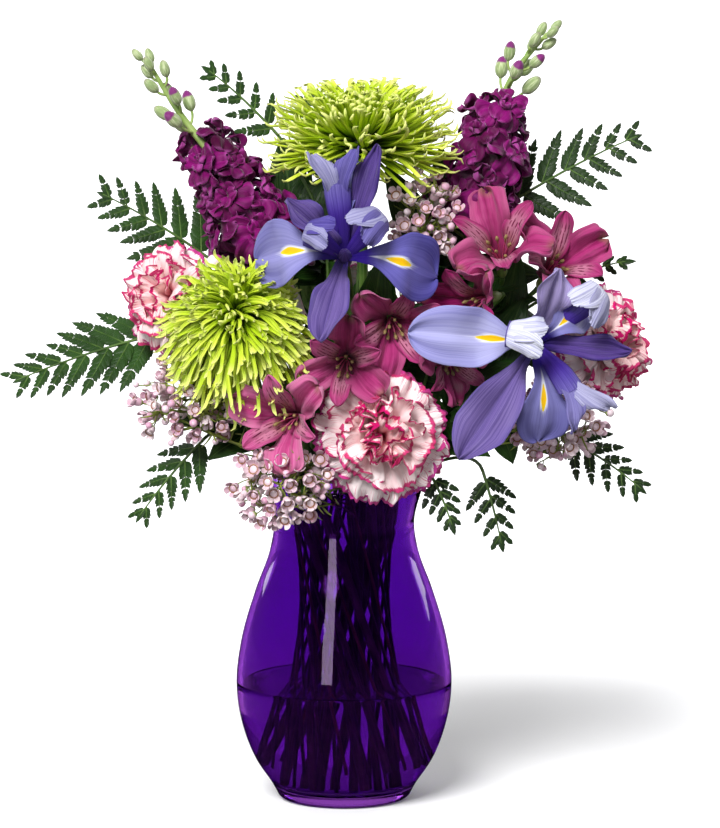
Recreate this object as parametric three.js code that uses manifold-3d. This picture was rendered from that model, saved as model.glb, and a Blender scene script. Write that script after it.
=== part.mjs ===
// Irises in a vase: a mixed bunch of cut flowers and fern in a violet glass vase.
// Millimetres, +Z up, the front of the bunch towards -Y, origin under the middle of the vase.
import * as THREE from 'three';
import { mergeVertices } from 'three/addons/utils/BufferGeometryUtils.js';
import Module from 'manifold-3d';

const wasm = await Module();
wasm.setup();
const { Manifold, Mesh } = wasm;

// ---------------------------------------------------------------- sizes

const GAP = 0.35;            // clear space kept between neighbouring pieces
const VASE_SIDES = 24;
const WATER_LEVEL = 68;
const NECK_TOP = 178;        // height at which the stems leave the straight bundle

// Outside of the vase from the middle of its base to the lip, then the inside back down.
const VASE_OUTSIDE = [
  [0, 0], [33, 0], [41, 7], [52, 24], [60, 46], [62.8, 67], [60, 93],
  [51.5, 123], [43, 147], [40.8, 162], [46, 185],
];
const VASE_INSIDE = [
  [44, 187], [37.4, 162], [39.8, 147], [48.2, 123], [56.8, 93],
  [59.6, 67], [56.8, 46], [48.6, 25], [37, 9], [0, 7],
];

const COLOURS = {
  violet_glass: 0x3a1290,
  water: 0x6a3fd0,
  iris: 0x7a78d0,
  carnation: 0xe9a9b8,
  mum: 0x9ccc1c,
  stock: 0x8a0f7c,
  alstroemeria: 0xc8478c,
  waxflower: 0xe3c7cf,
  stem: 0x4c7a2a,
  greenery: 0x2f6124,
  fern: 0x2c5216,
};

// ---------------------------------------------------------------- small tools

const V = (x, y, z) => new THREE.Vector3(x, y, z);
const deg = THREE.MathUtils.degToRad;
const GOLDEN = Math.PI * (3 - Math.sqrt(5));
const range = (n) => Array.from({ length: n }, (_, i) => i);
const along = (p, d, t) => p.clone().addScaledVector(d, t);

function randomFrom(seed) {
  let state = seed * 2654435761 >>> 0;
  return () => {
    state = (state + 0x6d2b79f5) >>> 0;
    let t = Math.imul(state ^ (state >>> 15), state | 1);
    t ^= t + Math.imul(t ^ (t >>> 7), t | 61);
    return ((t ^ (t >>> 14)) >>> 0) / 4294967296;
  };
}

// Direction given by its bearing from the viewer (to the right is positive) and its rise.
function facing(bearing, rise) {
  const b = deg(bearing);
  const r = deg(rise);
  return V(Math.sin(b) * Math.cos(r), -Math.cos(b) * Math.cos(r), Math.sin(r));
}

// Frame of a bloom: its own z along the axis, its x to the right, its y upwards.
function seat(origin, axis) {
  const z = axis.clone().normalize();
  const up = Math.abs(z.z) > 0.95 ? V(0, 1, 0) : V(0, 0, 1);
  const x = new THREE.Vector3().crossVectors(up, z).normalize();
  const y = new THREE.Vector3().crossVectors(z, x);
  return new THREE.Matrix4().makeBasis(x, y, z).setPosition(origin);
}

function shell(points, faces) {
  const geometry = new THREE.BufferGeometry();
  const flat = points.flatMap((p) => [p.x, p.y, p.z]);
  geometry.setAttribute('position', new THREE.Float32BufferAttribute(flat, 3));
  geometry.setIndex(faces.flat());
  return geometry;
}

const moved = (geometries, matrix) => geometries.map((g) => g.clone().applyMatrix4(matrix));

// ---------------------------------------------------------------- closed shapes

// A petal or leaf over a grid of points. It starts at a point, thins out to its rim, and
// ends at a point or in a row of rim points. Both faces are divided along the same lines.
function blade(rows, thickness) {
  const points = [];
  const faces = [];
  const last = rows.length - 1;
  const pick = (i, j) => {
    const row = rows[Math.min(Math.max(i, 0), last)];
    return row.length === 1 ? row[0] : row[Math.min(Math.max(j, 0), row.length - 1)];
  };
  const top = [];
  const bottom = [];
  rows.forEach((row, i) => {
    top.push([]);
    bottom.push([]);
    row.forEach((p, j) => {
      const rim = row.length === 1 || i === last || j === 0 || j === row.length - 1;
      if (rim) {
        points.push(p);
        top[i].push(points.length - 1);
        bottom[i].push(points.length - 1);
        return;
      }
      const length = pick(i + 1, j).clone().sub(pick(i - 1, j));
      const width = pick(i, j + 1).clone().sub(pick(i, j - 1));
      const normal = width.cross(length).normalize();
      points.push(along(p, normal, -thickness / 2), along(p, normal, thickness / 2));
      top[i].push(points.length - 2);
      bottom[i].push(points.length - 1);
    });
  });
  const face = (a, b, c) => {
    faces.push([top[a[0]][a[1]], top[b[0]][b[1]], top[c[0]][c[1]]]);
    faces.push([bottom[a[0]][a[1]], bottom[c[0]][c[1]], bottom[b[0]][b[1]]]);
  };
  for (let i = 0; i < last; i += 1) {
    const n = Math.max(rows[i].length, rows[i + 1].length);
    for (let j = 0; j < n - 1; j += 1) {
      if (rows[i].length === 1) {
        face([i, 0], [i + 1, j + 1], [i + 1, j]);
      } else if (rows[i + 1].length === 1) {
        face([i, j], [i, j + 1], [i + 1, 0]);
      } else if (j < (n - 1) / 2) {
        face([i, j], [i, j + 1], [i + 1, j]);
        face([i, j + 1], [i + 1, j + 1], [i + 1, j]);
      } else {
        face([i, j], [i, j + 1], [i + 1, j + 1]);
        face([i, j], [i + 1, j + 1], [i + 1, j]);
      }
    }
  }
  return shell(points, faces);
}

// A petal leaving the bloom's axis at an angle round it. Each entry of the spine is
// [distance out, height, half width]. cup lifts the sides, frill waves the far edge.
function petal(angle, spine, { cup = 0, frill = 0, thickness = 1.3, columns = 3, lean = 0 } = {}) {
  const out = V(Math.cos(angle), Math.sin(angle), 0);
  const side = V(-Math.sin(angle), Math.cos(angle), 0);
  const last = spine.length - 1;
  const rows = spine.map(([distance, height, half], i) => {
    const middle = out.clone().multiplyScalar(distance).addScaledVector(side, lean * distance);
    middle.z = height;
    if (half === 0) return [middle];
    const before = spine[Math.max(i - 1, 0)];
    const after = spine[Math.min(i + 1, last)];
    const run = new THREE.Vector2(after[0] - before[0], after[1] - before[1]).normalize();
    const lift = out.clone().multiplyScalar(-run.y).setZ(run.x);
    const ahead = out.clone().multiplyScalar(run.x).setZ(run.y);
    return range(columns).map((j) => {
      const v = -1 + 2 * j / (columns - 1);
      const wave = frill * (j % 2 ? 1 : -1) * (i / last) ** 2;
      const drop = i === last ? -0.35 * half * v * v : 0;
      return along(middle, side, half * v)
        .addScaledVector(lift, cup * half * v * v + wave)
        .addScaledVector(ahead, drop - (i === last ? 0.5 * wave : 0));
    });
  });
  return blade(rows, thickness);
}

// A round body or stalk through a list of points. A radius of nought closes it to a point.
function tube(path, radii, sides) {
  const points = [];
  const faces = [];
  const rings = [];
  let across = null;
  path.forEach((p, i) => {
    const before = path[Math.max(i - 1, 0)];
    const after = path[Math.min(i + 1, path.length - 1)];
    const run = after.clone().sub(before).normalize();
    if (!across) across = Math.abs(run.z) > 0.9 ? V(1, 0, 0) : V(0, 0, 1);
    across = across.clone().addScaledVector(run, -across.dot(run)).normalize();
    const other = new THREE.Vector3().crossVectors(run, across);
    const first = points.length;
    if (radii[i] === 0) {
      points.push(p.clone());
      rings.push([first]);
      return;
    }
    range(sides).forEach((k) => {
      const a = 2 * Math.PI * k / sides;
      points.push(along(p, across, radii[i] * Math.cos(a)).addScaledVector(other, radii[i] * Math.sin(a)));
    });
    rings.push(range(sides).map((k) => first + k));
  });
  for (let i = 0; i < rings.length - 1; i += 1) {
    const a = rings[i];
    const b = rings[i + 1];
    range(sides).forEach((k) => {
      const n = (k + 1) % sides;
      if (a.length > 1) faces.push([a[k], a[n], b.length > 1 ? b[n] : b[0]]);
      if (b.length > 1) faces.push([a.length > 1 ? a[k] : a[0], b[n], b[k]]);
    });
  }
  const start = rings[0];
  const end = rings[rings.length - 1];
  for (let k = 1; k < sides - 1; k += 1) {
    if (start.length > 1) faces.push([start[0], start[k + 1], start[k]]);
    if (end.length > 1) faces.push([end[0], end[k], end[k + 1]]);
  }
  return shell(points, faces);
}

// A body turned round its own z axis, profile as [radius, height] from bottom to top.
function turned(profile, sides) {
  return tube(profile.map(([, z]) => V(0, 0, z)), profile.map(([r]) => r), sides);
}

// A ring of petals joined at the base. The steps are [distance, height] outwards from the
// middle; clefts part the petals and frill waves their far edges.
function whorl(petals, steps, { under, over, cleft = 0.6, frill = 0, thickness = 1.4, turn = 0, parts = 3 }) {
  const count = petals * parts;
  const points = [V(0, 0, over), V(0, 0, under)];
  const last = steps.length - 1;
  const top = [];
  const bottom = [];
  steps.forEach(([distance, height], i) => {
    const before = i ? steps[i - 1] : [0, (over + under) / 2];
    const run = new THREE.Vector2(distance - before[0], height - before[1]).normalize();
    top.push([]);
    bottom.push([]);
    range(count).forEach((k) => {
      const angle = turn + 2 * Math.PI * k / count;
      const depth = k % parts === 0 ? 1 - (1 - cleft) * ((i + 1) / (last + 1)) ** 2 : 1;
      const wave = frill * (k % 2 ? 1 : -1) * ((i + 1) / (last + 1)) ** 2;
      const at = (lift) => {
        const r = before[0] + (distance - before[0]) * depth - run.y * (lift + wave);
        const z = before[1] + (height - before[1]) * depth + run.x * (lift + wave);
        return V(r * Math.cos(angle), r * Math.sin(angle), z);
      };
      if (i === last) {
        points.push(at(0));
        top[i].push(points.length - 1);
        bottom[i].push(points.length - 1);
      } else {
        points.push(at(thickness / 2), at(-thickness / 2));
        top[i].push(points.length - 2);
        bottom[i].push(points.length - 1);
      }
    });
  });
  const faces = [];
  range(count).forEach((k) => {
    const n = (k + 1) % count;
    faces.push([0, top[0][k], top[0][n]], [1, bottom[0][n], bottom[0][k]]);
    range(last).forEach((i) => {
      faces.push([top[i][k], top[i + 1][k], top[i + 1][n]], [top[i][k], top[i + 1][n], top[i][n]]);
      faces.push([bottom[i][k], bottom[i + 1][n], bottom[i + 1][k]]);
      faces.push([bottom[i][k], bottom[i][n], bottom[i + 1][n]]);
    });
  });
  return shell(points, faces);
}

// The leafy part of a frond along a curve: a ridged midrib with a toothed leaflet on either
// side of each stretch. room tells how long each leaflet can be, as a share of its length.
function frondBlade(curve, face, half, pairs, room) {
  const points = [];
  const faces = [];
  const add = (p) => points.push(p) - 1;
  const station = (t) => {
    const at = curve.getPoint(t);
    const run = curve.getTangent(t);
    const across = new THREE.Vector3().crossVectors(face, run).normalize();
    return { at, run, across, normal: new THREE.Vector3().crossVectors(run, across) };
  };
  const start = add(curve.getPoint(0));
  const end = add(along(curve.getPoint(1), curve.getTangent(1), 3));
  const ribs = range(pairs + 1).map((k) => {
    const { at, across, normal } = station(0.02 + 0.96 * k / pairs);
    return {
      ridge: [add(along(at, normal, 0.9)), add(along(at, normal, -0.9))],
      edge: [add(along(at, across, 1)), add(along(at, across, -1))],
    };
  });
  const pair = (a, b, c, hand) => {
    const turn = hand === 0;
    faces.push(turn ? [a[0], b[0], c[0]] : [a[0], c[0], b[0]]);
    faces.push(turn ? [a[1], c[1], b[1]] : [a[1], b[1], c[1]]);
  };
  const one = (i) => [i, i];
  const first = ribs[0];
  const last = ribs[pairs];
  [0, 1].forEach((hand) => {
    pair(first.ridge, one(first.edge[hand]), one(start), hand);
    pair(last.ridge, one(end), one(last.edge[hand]), hand);
    range(pairs).forEach((k) => {
      const t = (k + 0.5) / pairs;
      const { at, run, across, normal } = station(t);
      const away = across.clone().multiplyScalar(hand === 0 ? 1 : -1);
      const out = along(away, run, (hand ? 0.5 : 0.75) + 0.3 * t).add(V(0, 0, -0.12)).normalize();
      const side = along(run, out, -run.dot(out)).normalize();
      const full = 1.2 * half * (1 - 0.74 * t) * (k === 0 ? 0.85 : 1);
      const wide = Math.min(0.2 * full + 1.4, 0.37 * curve.getLength() / pairs);
      const spot = (u, v, length) => along(at, out, 1 + length * u).addScaledVector(side, wide * v);
      const outline = [[0.3, -0.9], [0.62, -0.62], [1, 0], [0.68, 0.7], [0.46, 0.48], [0.28, 0.95]];
      const length = full * room((l) => [at, spot(0.35, 0.9, full * l), spot(0.35, -0.9, full * l),
        spot(1, 0, full * l)]);
      const ring = outline.map(([u, v]) => add(spot(u, v, length)));
      const heart = [0.7, -0.7].map((lift) => add(along(spot(0.4, 0, length), normal, lift)));
      const below = ribs[k];
      const above = ribs[k + 1];
      const loop = [below.ridge, one(below.edge[hand]), ...ring.map(one), one(above.edge[hand]), above.ridge];
      loop.forEach((a, i) => pair(heart, a, loop[(i + 1) % loop.length], 1 - hand));
    });
  });
  return shell(points, faces);
}

// A flat leaf from a stalk to its tip, arching over on the way.
function leaf(from, to, width, lift) {
  const middle = from.clone().lerp(to, 0.5).add(V(0, 0, lift));
  const curve = new THREE.QuadraticBezierCurve3(from, middle, to);
  const rows = [0, 0.3, 0.6, 0.85, 1].map((t) => {
    const at = curve.getPoint(t);
    const half = 0.5 * width * Math.sin(Math.PI * t ** 0.8);
    if (t === 0 || t === 1) return [at];
    const across = new THREE.Vector3().crossVectors(curve.getTangent(t), V(0.2, -0.6, 0.7)).normalize();
    return [-1, 0, 1].map((v) => along(at, across, half * v).add(V(0, 0, 0.16 * half * v * v)));
  });
  return blade(rows, 1.3);
}

// A broad leaf of a sprig, arched along its length and a little folded.
function sprigLeaf(from, to, width) {
  const run = to.clone().sub(from);
  const across = new THREE.Vector3().crossVectors(run, V(0.1, -0.8, 0.5)).normalize();
  const lift = new THREE.Vector3().crossVectors(across, run).normalize();
  const rows = [[0, 0], [0.34, 0.46], [0.72, 0.4], [1, 0]].map(([t, half]) => {
    const at = along(from, run, t).addScaledVector(lift, 18 * t * (1 - t));
    if (half === 0) return [at];
    return [-1, 0, 1].map((v) => along(at, across, width * half * v)
      .addScaledVector(lift, 0.12 * width * v * v));
  });
  return blade(rows, 1.3);
}

// A small open flower on its stalk: a funnel with a five-cornered rim and a hollow middle.
function cup(from, centre, axis, radius) {
  const path = [from, along(centre, axis, -0.8 * radius), along(centre, axis, 0.2 * radius),
    along(centre, axis, -0.15 * radius)];
  return tube(path, [0.6, 0.8, radius, 0], 5);
}

// ---------------------------------------------------------------- joining and cutting

function solid(geometry) {
  const bare = geometry.clone();
  bare.deleteAttribute('normal');
  bare.deleteAttribute('uv');
  const merged = mergeVertices(bare, 1e-4);
  const index = Array.from(merged.index.array);
  const build = (flip) => {
    const faces = [];
    for (let i = 0; i < index.length; i += 3) {
      const [a, b, c] = index.slice(i, i + 3);
      if (a !== b && b !== c && c !== a) faces.push(a, flip ? c : b, flip ? b : c);
    }
    const vertProperties = Float32Array.from(merged.attributes.position.array);
    return new Manifold(new Mesh({ numProp: 3, vertProperties, triVerts: Uint32Array.from(faces) }));
  };
  const body = build(false);
  return body.volume() < 0 ? build(true) : body;
}

// The same shape, larger all round by a margin.
function grown(geometry, margin) {
  const bare = geometry.clone();
  bare.deleteAttribute('normal');
  bare.deleteAttribute('uv');
  const merged = mergeVertices(bare, 1e-4);
  merged.computeVertexNormals();
  const flip = solid(geometry).volume() > 0 && signedVolume(merged) < 0 ? -1 : 1;
  const p = merged.attributes.position;
  const n = merged.attributes.normal;
  range(p.count).forEach((i) => {
    const k = 1.25 * margin * flip;
    p.setXYZ(i, p.getX(i) + k * n.getX(i), p.getY(i) + k * n.getY(i), p.getZ(i) + k * n.getZ(i));
  });
  return merged;
}

function signedVolume(geometry) {
  const p = geometry.attributes.position;
  const index = geometry.index.array;
  const corner = (i) => V(p.getX(i), p.getY(i), p.getZ(i));
  let sum = 0;
  for (let i = 0; i < index.length; i += 3) {
    const [a, b, c] = [corner(index[i]), corner(index[i + 1]), corner(index[i + 2])];
    sum += a.dot(b.cross(c)) / 6;
  }
  return sum;
}

const joined = (bodies) => Manifold.union(bodies);

// The main body of what a cut has left, without slivers or loose scrap.
function mainBody(body) {
  const largest = (b) => b.decompose().sort((x, y) => y.volume() - x.volume())[0];
  return largest(largest(body).simplify(0.01));
}

function boxesMeet(a, b, margin = 0.5) {
  return range(3).every((i) => a.min[i] - margin < b.max[i] && b.min[i] - margin < a.max[i]);
}

const bunch = new THREE.Group();
bunch.name = 'irises_in_a_vase';
const finished = [];

// Everything already placed that comes near a body, with its clear space round it.
function placedNear(body) {
  const box = body.boundingBox();
  const near = finished.filter((piece) => boxesMeet(piece.box, box));
  return near.length ? joined(near.map((piece) => piece.wide)) : null;
}

function publish(name, slot, body, wide) {
  const mesh = body.getMesh();
  const geometry = new THREE.BufferGeometry();
  geometry.setAttribute('position', new THREE.BufferAttribute(Float32Array.from(mesh.vertProperties), 3));
  geometry.setIndex(Array.from(mesh.triVerts));
  geometry.computeVertexNormals();
  const glass = slot === 'violet_glass' || slot === 'water';
  const material = new THREE.MeshStandardMaterial({
    color: COLOURS[slot],
    roughness: glass ? 0.05 : 0.6,
    metalness: 0,
  });
  const piece = new THREE.Mesh(geometry, material);
  piece.name = name;
  bunch.add(piece);
  finished.push({ name, body, wide, box: wide.boundingBox() });
}

// Fuses a piece, cuts it clear of what is already placed, drops what falls off.
function place(name, slot, geometries) {
  let body = joined(geometries.map(solid));
  const wide = joined([body, ...geometries.map((g) => solid(grown(g, GAP)))]);
  const others = placedNear(body);
  if (others) body = body.subtract(others);
  publish(name, slot, mainBody(body), wide);
}

// Keeps the small parts of a piece that stay clear of what is already placed.
function clearOnes(geometries, allowed = 0.03) {
  return geometries.filter((geometry) => {
    const body = solid(geometry);
    const others = placedNear(body);
    return !others || body.intersect(others).volume() < allowed * body.volume();
  });
}

// ---------------------------------------------------------------- vase

function lathed(profile) {
  const points = profile.map(([r, z]) => new THREE.Vector2(r, z));
  return new THREE.LatheGeometry(points, VASE_SIDES).rotateX(Math.PI / 2);
}

const vaseBody = solid(lathed([...VASE_OUTSIDE, ...VASE_INSIDE]));
const vaseWide = solid(grown(lathed([...VASE_OUTSIDE, ...VASE_INSIDE]), GAP));

// ---------------------------------------------------------------- where everything sits

// Heads: where the base of the bloom sits, bearing and rise of its axis, and its size.
const IRISES = [
  {
    name: 'iris_1', at: V(0.6, -50, 323), axis: facing(0, 20),
    falls: [[178, 50, -4, 19], [-8, 53, -4, 19], [92, 57, 2, 12]],
    standards: [[-106, 55, 22, 12], [76, 62, 26, 8], [142, 42, 30, 9]],
    styles: [[158, 26], [38, 30], [97, 36]],
  },
  {
    name: 'iris_2', at: V(108, -42, 273), axis: facing(15, 8),
    falls: [[172, 78, 14, 17], [-90, 56, 2, 15], [40, 34, 0, 14]],
    standards: [[-128, 82, 14, 15], [-8, 52, 22, 9], [90, 46, 30, 10]],
    styles: [[166, 34], [40, 46], [-62, 34]],
  },
];
const MUMS = [
  {
    name: 'mum_1', at: V(10, 0, 374), axis: facing(0, 82),
    size: 53, spread: 110, sag: 0.1, curl: -0.4, droop: 0,
  },
  {
    name: 'mum_2', at: V(-58, -34, 287), axis: facing(-14, 6),
    size: 46, spread: 106, sag: 0.34, curl: 0.2, droop: 0.26,
  },
];
const CARNATIONS = [
  { name: 'carnation_1', at: V(21, -40, 220), axis: facing(4, 8), size: 40 },
  { name: 'carnation_2', at: V(-92, -8, 293), axis: facing(-40, 16), size: 34 },
  { name: 'carnation_3', at: V(140, -4, 266), axis: facing(46, 4), size: 36 },
  { name: 'carnation_4', at: V(-22, 58, 296), axis: facing(190, 34), size: 36 },
];
const STOCKS = [
  {
    name: 'stock_1',
    path: [V(-44, 6, 318), V(-58, 8, 345), V(-78, 8, 378)],
    tip: [V(-96, 8, 402), V(-113, 8, 430)],
  },
  {
    name: 'stock_2',
    path: [V(72, 12, 326), V(80, 12, 362), V(88, 11, 400)],
    tip: [V(99, 10, 424), V(117, 8, 446)],
  },
];
// Blooms as [x, y, z of the base, bearing, rise, size]; leaves as [x, y, z of the tip, width].
const ALSTROEMERIAS = [
  {
    name: 'alstroemeria_1',
    blooms: [[91, -6, 311, -6, 40, 44], [115, 4, 303, 22, 34, 42], [86, -20, 296, -35, -5, 42]],
    leaves: [[70, -52, 226, 20]],
  },
  {
    name: 'alstroemeria_2',
    blooms: [[26, -24, 286, 6, -8, 40], [2, -32, 263, -4, 0, 38], [56, -34, 266, 20, -18, 36]],
    leaves: [[-26, -30, 236, 15], [62, -20, 300, 14]],
  },
  { name: 'alstroemeria_3', blooms: [[-24, -36, 230, -22, 4, 42]], leaves: [[-24, -66, 190, 12]] },
  {
    name: 'alstroemeria_4',
    blooms: [[46, 60, 268, 150, 20, 42]],
    leaves: [[20, 84, 232, 18], [70, 44, 236, 16]],
  },
];
const SPRAYS = [
  { name: 'waxflower_1', at: V(46, -14, 338), axis: facing(25, 60), size: [20, 13, 28], count: 7 },
  { name: 'waxflower_2', at: V(-80, -30, 240), axis: facing(-62, -4), size: [34, 16, 28], count: 9 },
  { name: 'waxflower_3', at: V(-32, -56, 204), axis: facing(-24, -28), size: [29, 13, 26], count: 9 },
  { name: 'waxflower_4', at: V(116, -24, 228), axis: facing(66, -4), size: [28, 16, 30], count: 9 },
  { name: 'waxflower_5', at: V(-62, 54, 250), axis: facing(220, 14), size: [26, 18, 26], count: 7 },
];
// Fronds: start and tip of the leafy part, way its face is turned, half width, leaflet pairs.
const FRONDS = [
  { name: 'fern_1', from: V(-76, 26, 312), to: V(-140, 20, 352), face: facing(-10, 30), half: 30, pairs: 6 },
  { name: 'fern_2', from: V(-106, 10, 272), to: V(-190, -4, 246), face: facing(-14, 40), half: 32, pairs: 7 },
  { name: 'fern_3', from: V(-80, -12, 214), to: V(-118, -26, 170), face: facing(-30, 30), half: 22, pairs: 5 },
  { name: 'fern_4', from: V(-38, 20, 386), to: V(-78, 16, 424), face: facing(0, 30), half: 16, pairs: 5 },
  { name: 'fern_5', from: V(96, 26, 346), to: V(170, 18, 386), face: facing(6, 26), half: 28, pairs: 6 },
  { name: 'fern_6', from: V(128, 18, 300), to: V(163, 8, 314), face: facing(4, 40), half: 9, pairs: 4 },
  { name: 'fern_7', from: V(126, -2, 214), to: V(172, -12, 184), face: facing(10, 30), half: 20, pairs: 5 },
  { name: 'fern_8', from: V(80, -20, 196), to: V(91, -26, 154), face: facing(0, 20), half: 16, pairs: 4 },
  { name: 'fern_9', from: V(4, 50, 340), to: V(-18, 72, 404), face: facing(186, 10), half: 28, pairs: 6 },
  { name: 'fern_10', from: V(84, 58, 250), to: V(134, 90, 262), face: facing(160, 40), half: 28, pairs: 5 },
  { name: 'fern_11', from: V(-40, 80, 226), to: V(-88, 112, 208), face: facing(205, 40), half: 26, pairs: 5 },
  { name: 'fern_12', from: V(50, -38, 196), to: V(62, -44, 168), face: facing(0, 20), half: 12, pairs: 4 },
];
// Leafy sprigs: end of the stalk, way it grows there, and the leaves as [x, y, z of the tip, width].
const SPRIGS = [
  {
    name: 'greenery_1', at: V(-34, 24, 338), axis: facing(-60, 66),
    leaves: [[-46, 8, 314, 26], [-64, 26, 348, 24], [-8, 24, 364, 24], [-36, 30, 384, 26]],
  },
  {
    name: 'greenery_2', at: V(46, 20, 332), axis: facing(20, 66),
    leaves: [[38, 0, 308, 24], [84, 12, 312, 24], [24, 22, 368, 24], [66, 20, 354, 26]],
  },
  {
    name: 'greenery_3', at: V(10, 0, 270), axis: facing(0, 70),
    leaves: [[-24, -6, 262, 26], [46, -2, 268, 26], [-14, 0, 300, 26], [28, 4, 306, 26]],
  },
  {
    name: 'greenery_4', at: V(80, -8, 236), axis: facing(60, 40),
    leaves: [[84, -34, 206, 22], [100, -24, 226, 24], [66, -14, 262, 24], [106, -10, 258, 26]],
  },
  {
    name: 'greenery_5', at: V(-66, -10, 228), axis: facing(-60, 30),
    leaves: [[-50, -36, 208, 22], [-78, -30, 204, 24], [-98, -18, 224, 24], [-92, -6, 252, 26]],
  },
  {
    name: 'greenery_6', at: V(10, 50, 276), axis: facing(180, 66),
    leaves: [[-36, 62, 262, 28], [-28, 58, 302, 28], [24, 66, 306, 28]],
  },
];

// ---------------------------------------------------------------- stems

// Places for stems in the neck: rings of [number, radius at the neck, radius at the foot,
// height of the foot, turn between foot and neck].
const RINGS = [
  [22, 32.3, 43, 23, 92],
  [13, 21.5, 30, 11.5, 88],
  [6, 11.5, 17, 8.4, 92],
];
const places = RINGS.flatMap(([count, top, foot, height, turn], ring) => range(count).map((k) => {
  const angle = 2 * Math.PI * (k + 0.37 * ring) / count;
  const below = angle + deg(turn);
  return {
    ring,
    angle,
    taken: false,
    neck: V(top * Math.cos(angle), top * Math.sin(angle), NECK_TOP),
    foot: V(foot * Math.cos(below), foot * Math.sin(below), height),
  };
}));

// Balls that no foreign stem may pass through: the hearts of the blooms.
const hearts = [];
const stemsLaid = [];

function pathPoints(path, step = 3) {
  const points = [];
  for (let i = 0; i < path.length - 1; i += 1) {
    const n = Math.max(1, Math.ceil(path[i].distanceTo(path[i + 1]) / step));
    range(n).forEach((k) => points.push(path[i].clone().lerp(path[i + 1], k / n)));
  }
  points.push(path[path.length - 1]);
  return points;
}

function freeOfOthers(points, radius, owner) {
  const hitsHeart = hearts.some((heart) => heart.owner !== owner
    && points.some((p) => p.distanceTo(heart.at) < heart.radius + radius));
  if (hitsHeart) return false;
  const hitsLip = points.some((p) => p.z > 150 && p.z < 192
    && Math.hypot(p.x, p.y) > 35.6 + Math.max(0, (p.z - 172) * 0.38) - radius);
  if (hitsLip) return false;
  return !stemsLaid.some((stem) => stem.points.some((q) => points.some(
    (p) => p.distanceToSquared(q) < (stem.radius + radius + 0.9) ** 2)));
}

// The way of a stem from its foot through the neck to the base of its bloom.
function stemPath(end, axis, radius, owner, segments = 4, fits = () => true) {
  const bearing = Math.atan2(end.y, end.x);
  const turnFrom = (spot) => {
    const off = spot.angle - bearing - deg(38);
    return Math.abs(Math.atan2(Math.sin(off), Math.cos(off)));
  };
  const reach = Math.hypot(end.x, end.y);
  const bestRing = reach > 62 ? 0 : (reach > 34 ? 1 : 2);
  const order = places.filter((p) => !p.taken)
    .sort((a, b) => (turnFrom(a) + 0.7 * Math.abs(a.ring - bestRing))
      - (turnFrom(b) + 0.7 * Math.abs(b.ring - bestRing)));
  const sways = [0, 10, -10, 20, -20, 32, -32, 46, -46, 60, -60];
  for (const spot of order) {
    for (const sway of sways) {
      const start = spot.neck;
      const run = start.clone().sub(spot.foot).normalize().lerp(V(0, 0, 1), 0.35).normalize();
      const span = end.distanceTo(start);
      const sideways = V(-(end.y - start.y), end.x - start.x, 0).normalize();
      const curve = new THREE.CubicBezierCurve3(
        start,
        along(start, run, 0.42 * span).addScaledVector(sideways, sway * 0.6),
        along(end, axis, -0.36 * span).addScaledVector(sideways, sway),
        end,
      );
      const bend = range(segments).map((k) => curve.getPoint((k + 1) / segments));
      const path = [spot.foot, start, ...bend];
      if (freeOfOthers(pathPoints(path), radius, owner) && fits(path)) {
        spot.taken = true;
        stemsLaid.push({ points: pathPoints(path), radius, owner });
        return path;
      }
    }
  }
  throw new Error(`no way for the stem of ${owner}`);
}

// ---------------------------------------------------------------- blooms

function irisBloom({ falls, standards, styles }) {
  const parts = [turned([[0, -15], [3.6, -10], [4.6, 2], [0, 12]], 5)];
  falls.forEach(([angle, reach, drop, half]) => parts.push(petal(deg(angle), [
    [0, -2, 0], [0.18 * reach, 10, 4], [0.42 * reach, 17, 7], [0.6 * reach, 17, 0.88 * half],
    [0.78 * reach, 0.6 * (17 + drop), half], [0.93 * reach, 0.3 * (17 + drop), half * 0.72],
    [reach, drop, 0],
  ], { cup: 0.12, thickness: 1.4 })));
  standards.forEach(([angle, reach, rise, half]) => parts.push(petal(deg(angle), [
    [0, -2, 0], [0.18 * reach, 8, 4.5], [0.5 * reach, 0.62 * rise + 4, 0.85 * half],
    [0.8 * reach, 0.95 * rise, half], [reach, rise, 0],
  ], { cup: 0.3, columns: 3, thickness: 1.4 })));
  styles.forEach(([angle, reach]) => {
    parts.push(petal(deg(angle), [
      [0, 0, 0], [0.4 * reach, 15, 5], [0.8 * reach, 24, 7.5], [reach, 26, 7.5],
    ], { cup: -0.2, thickness: 1.6 }));
    [-1, 1].forEach((s) => parts.push(petal(deg(angle), [
      [reach - 5, 24, 0], [reach - 3, 33, 6], [reach - 9, 43, 5],
    ], { lean: 0.17 * s, frill: 1.5, thickness: 1.2 })));
  });
  return parts;
}

function carnationHead(size, seed) {
  const random = randomFrom(seed);
  const layers = [[6, 94, 1, 0.4, 5], [5, 68, 0.97, 4, 8], [4, 44, 0.92, 6, 10], [3, 20, 0.86, 8, 13]];
  return layers.map(([petals, tilt, length, under, over]) => {
    const reach = size * length * (0.97 + 0.06 * random());
    const at = (s, more) => [
      reach * s * Math.sin(deg(tilt + more)),
      7 + 0.86 * reach * s * Math.cos(deg(tilt + more)),
    ];
    return whorl(petals, [at(0.55, -4), at(1, 5)], {
      under, over, cleft: 0.62, frill: 0.085 * size, turn: 6 * random(),
    });
  });
}

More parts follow.
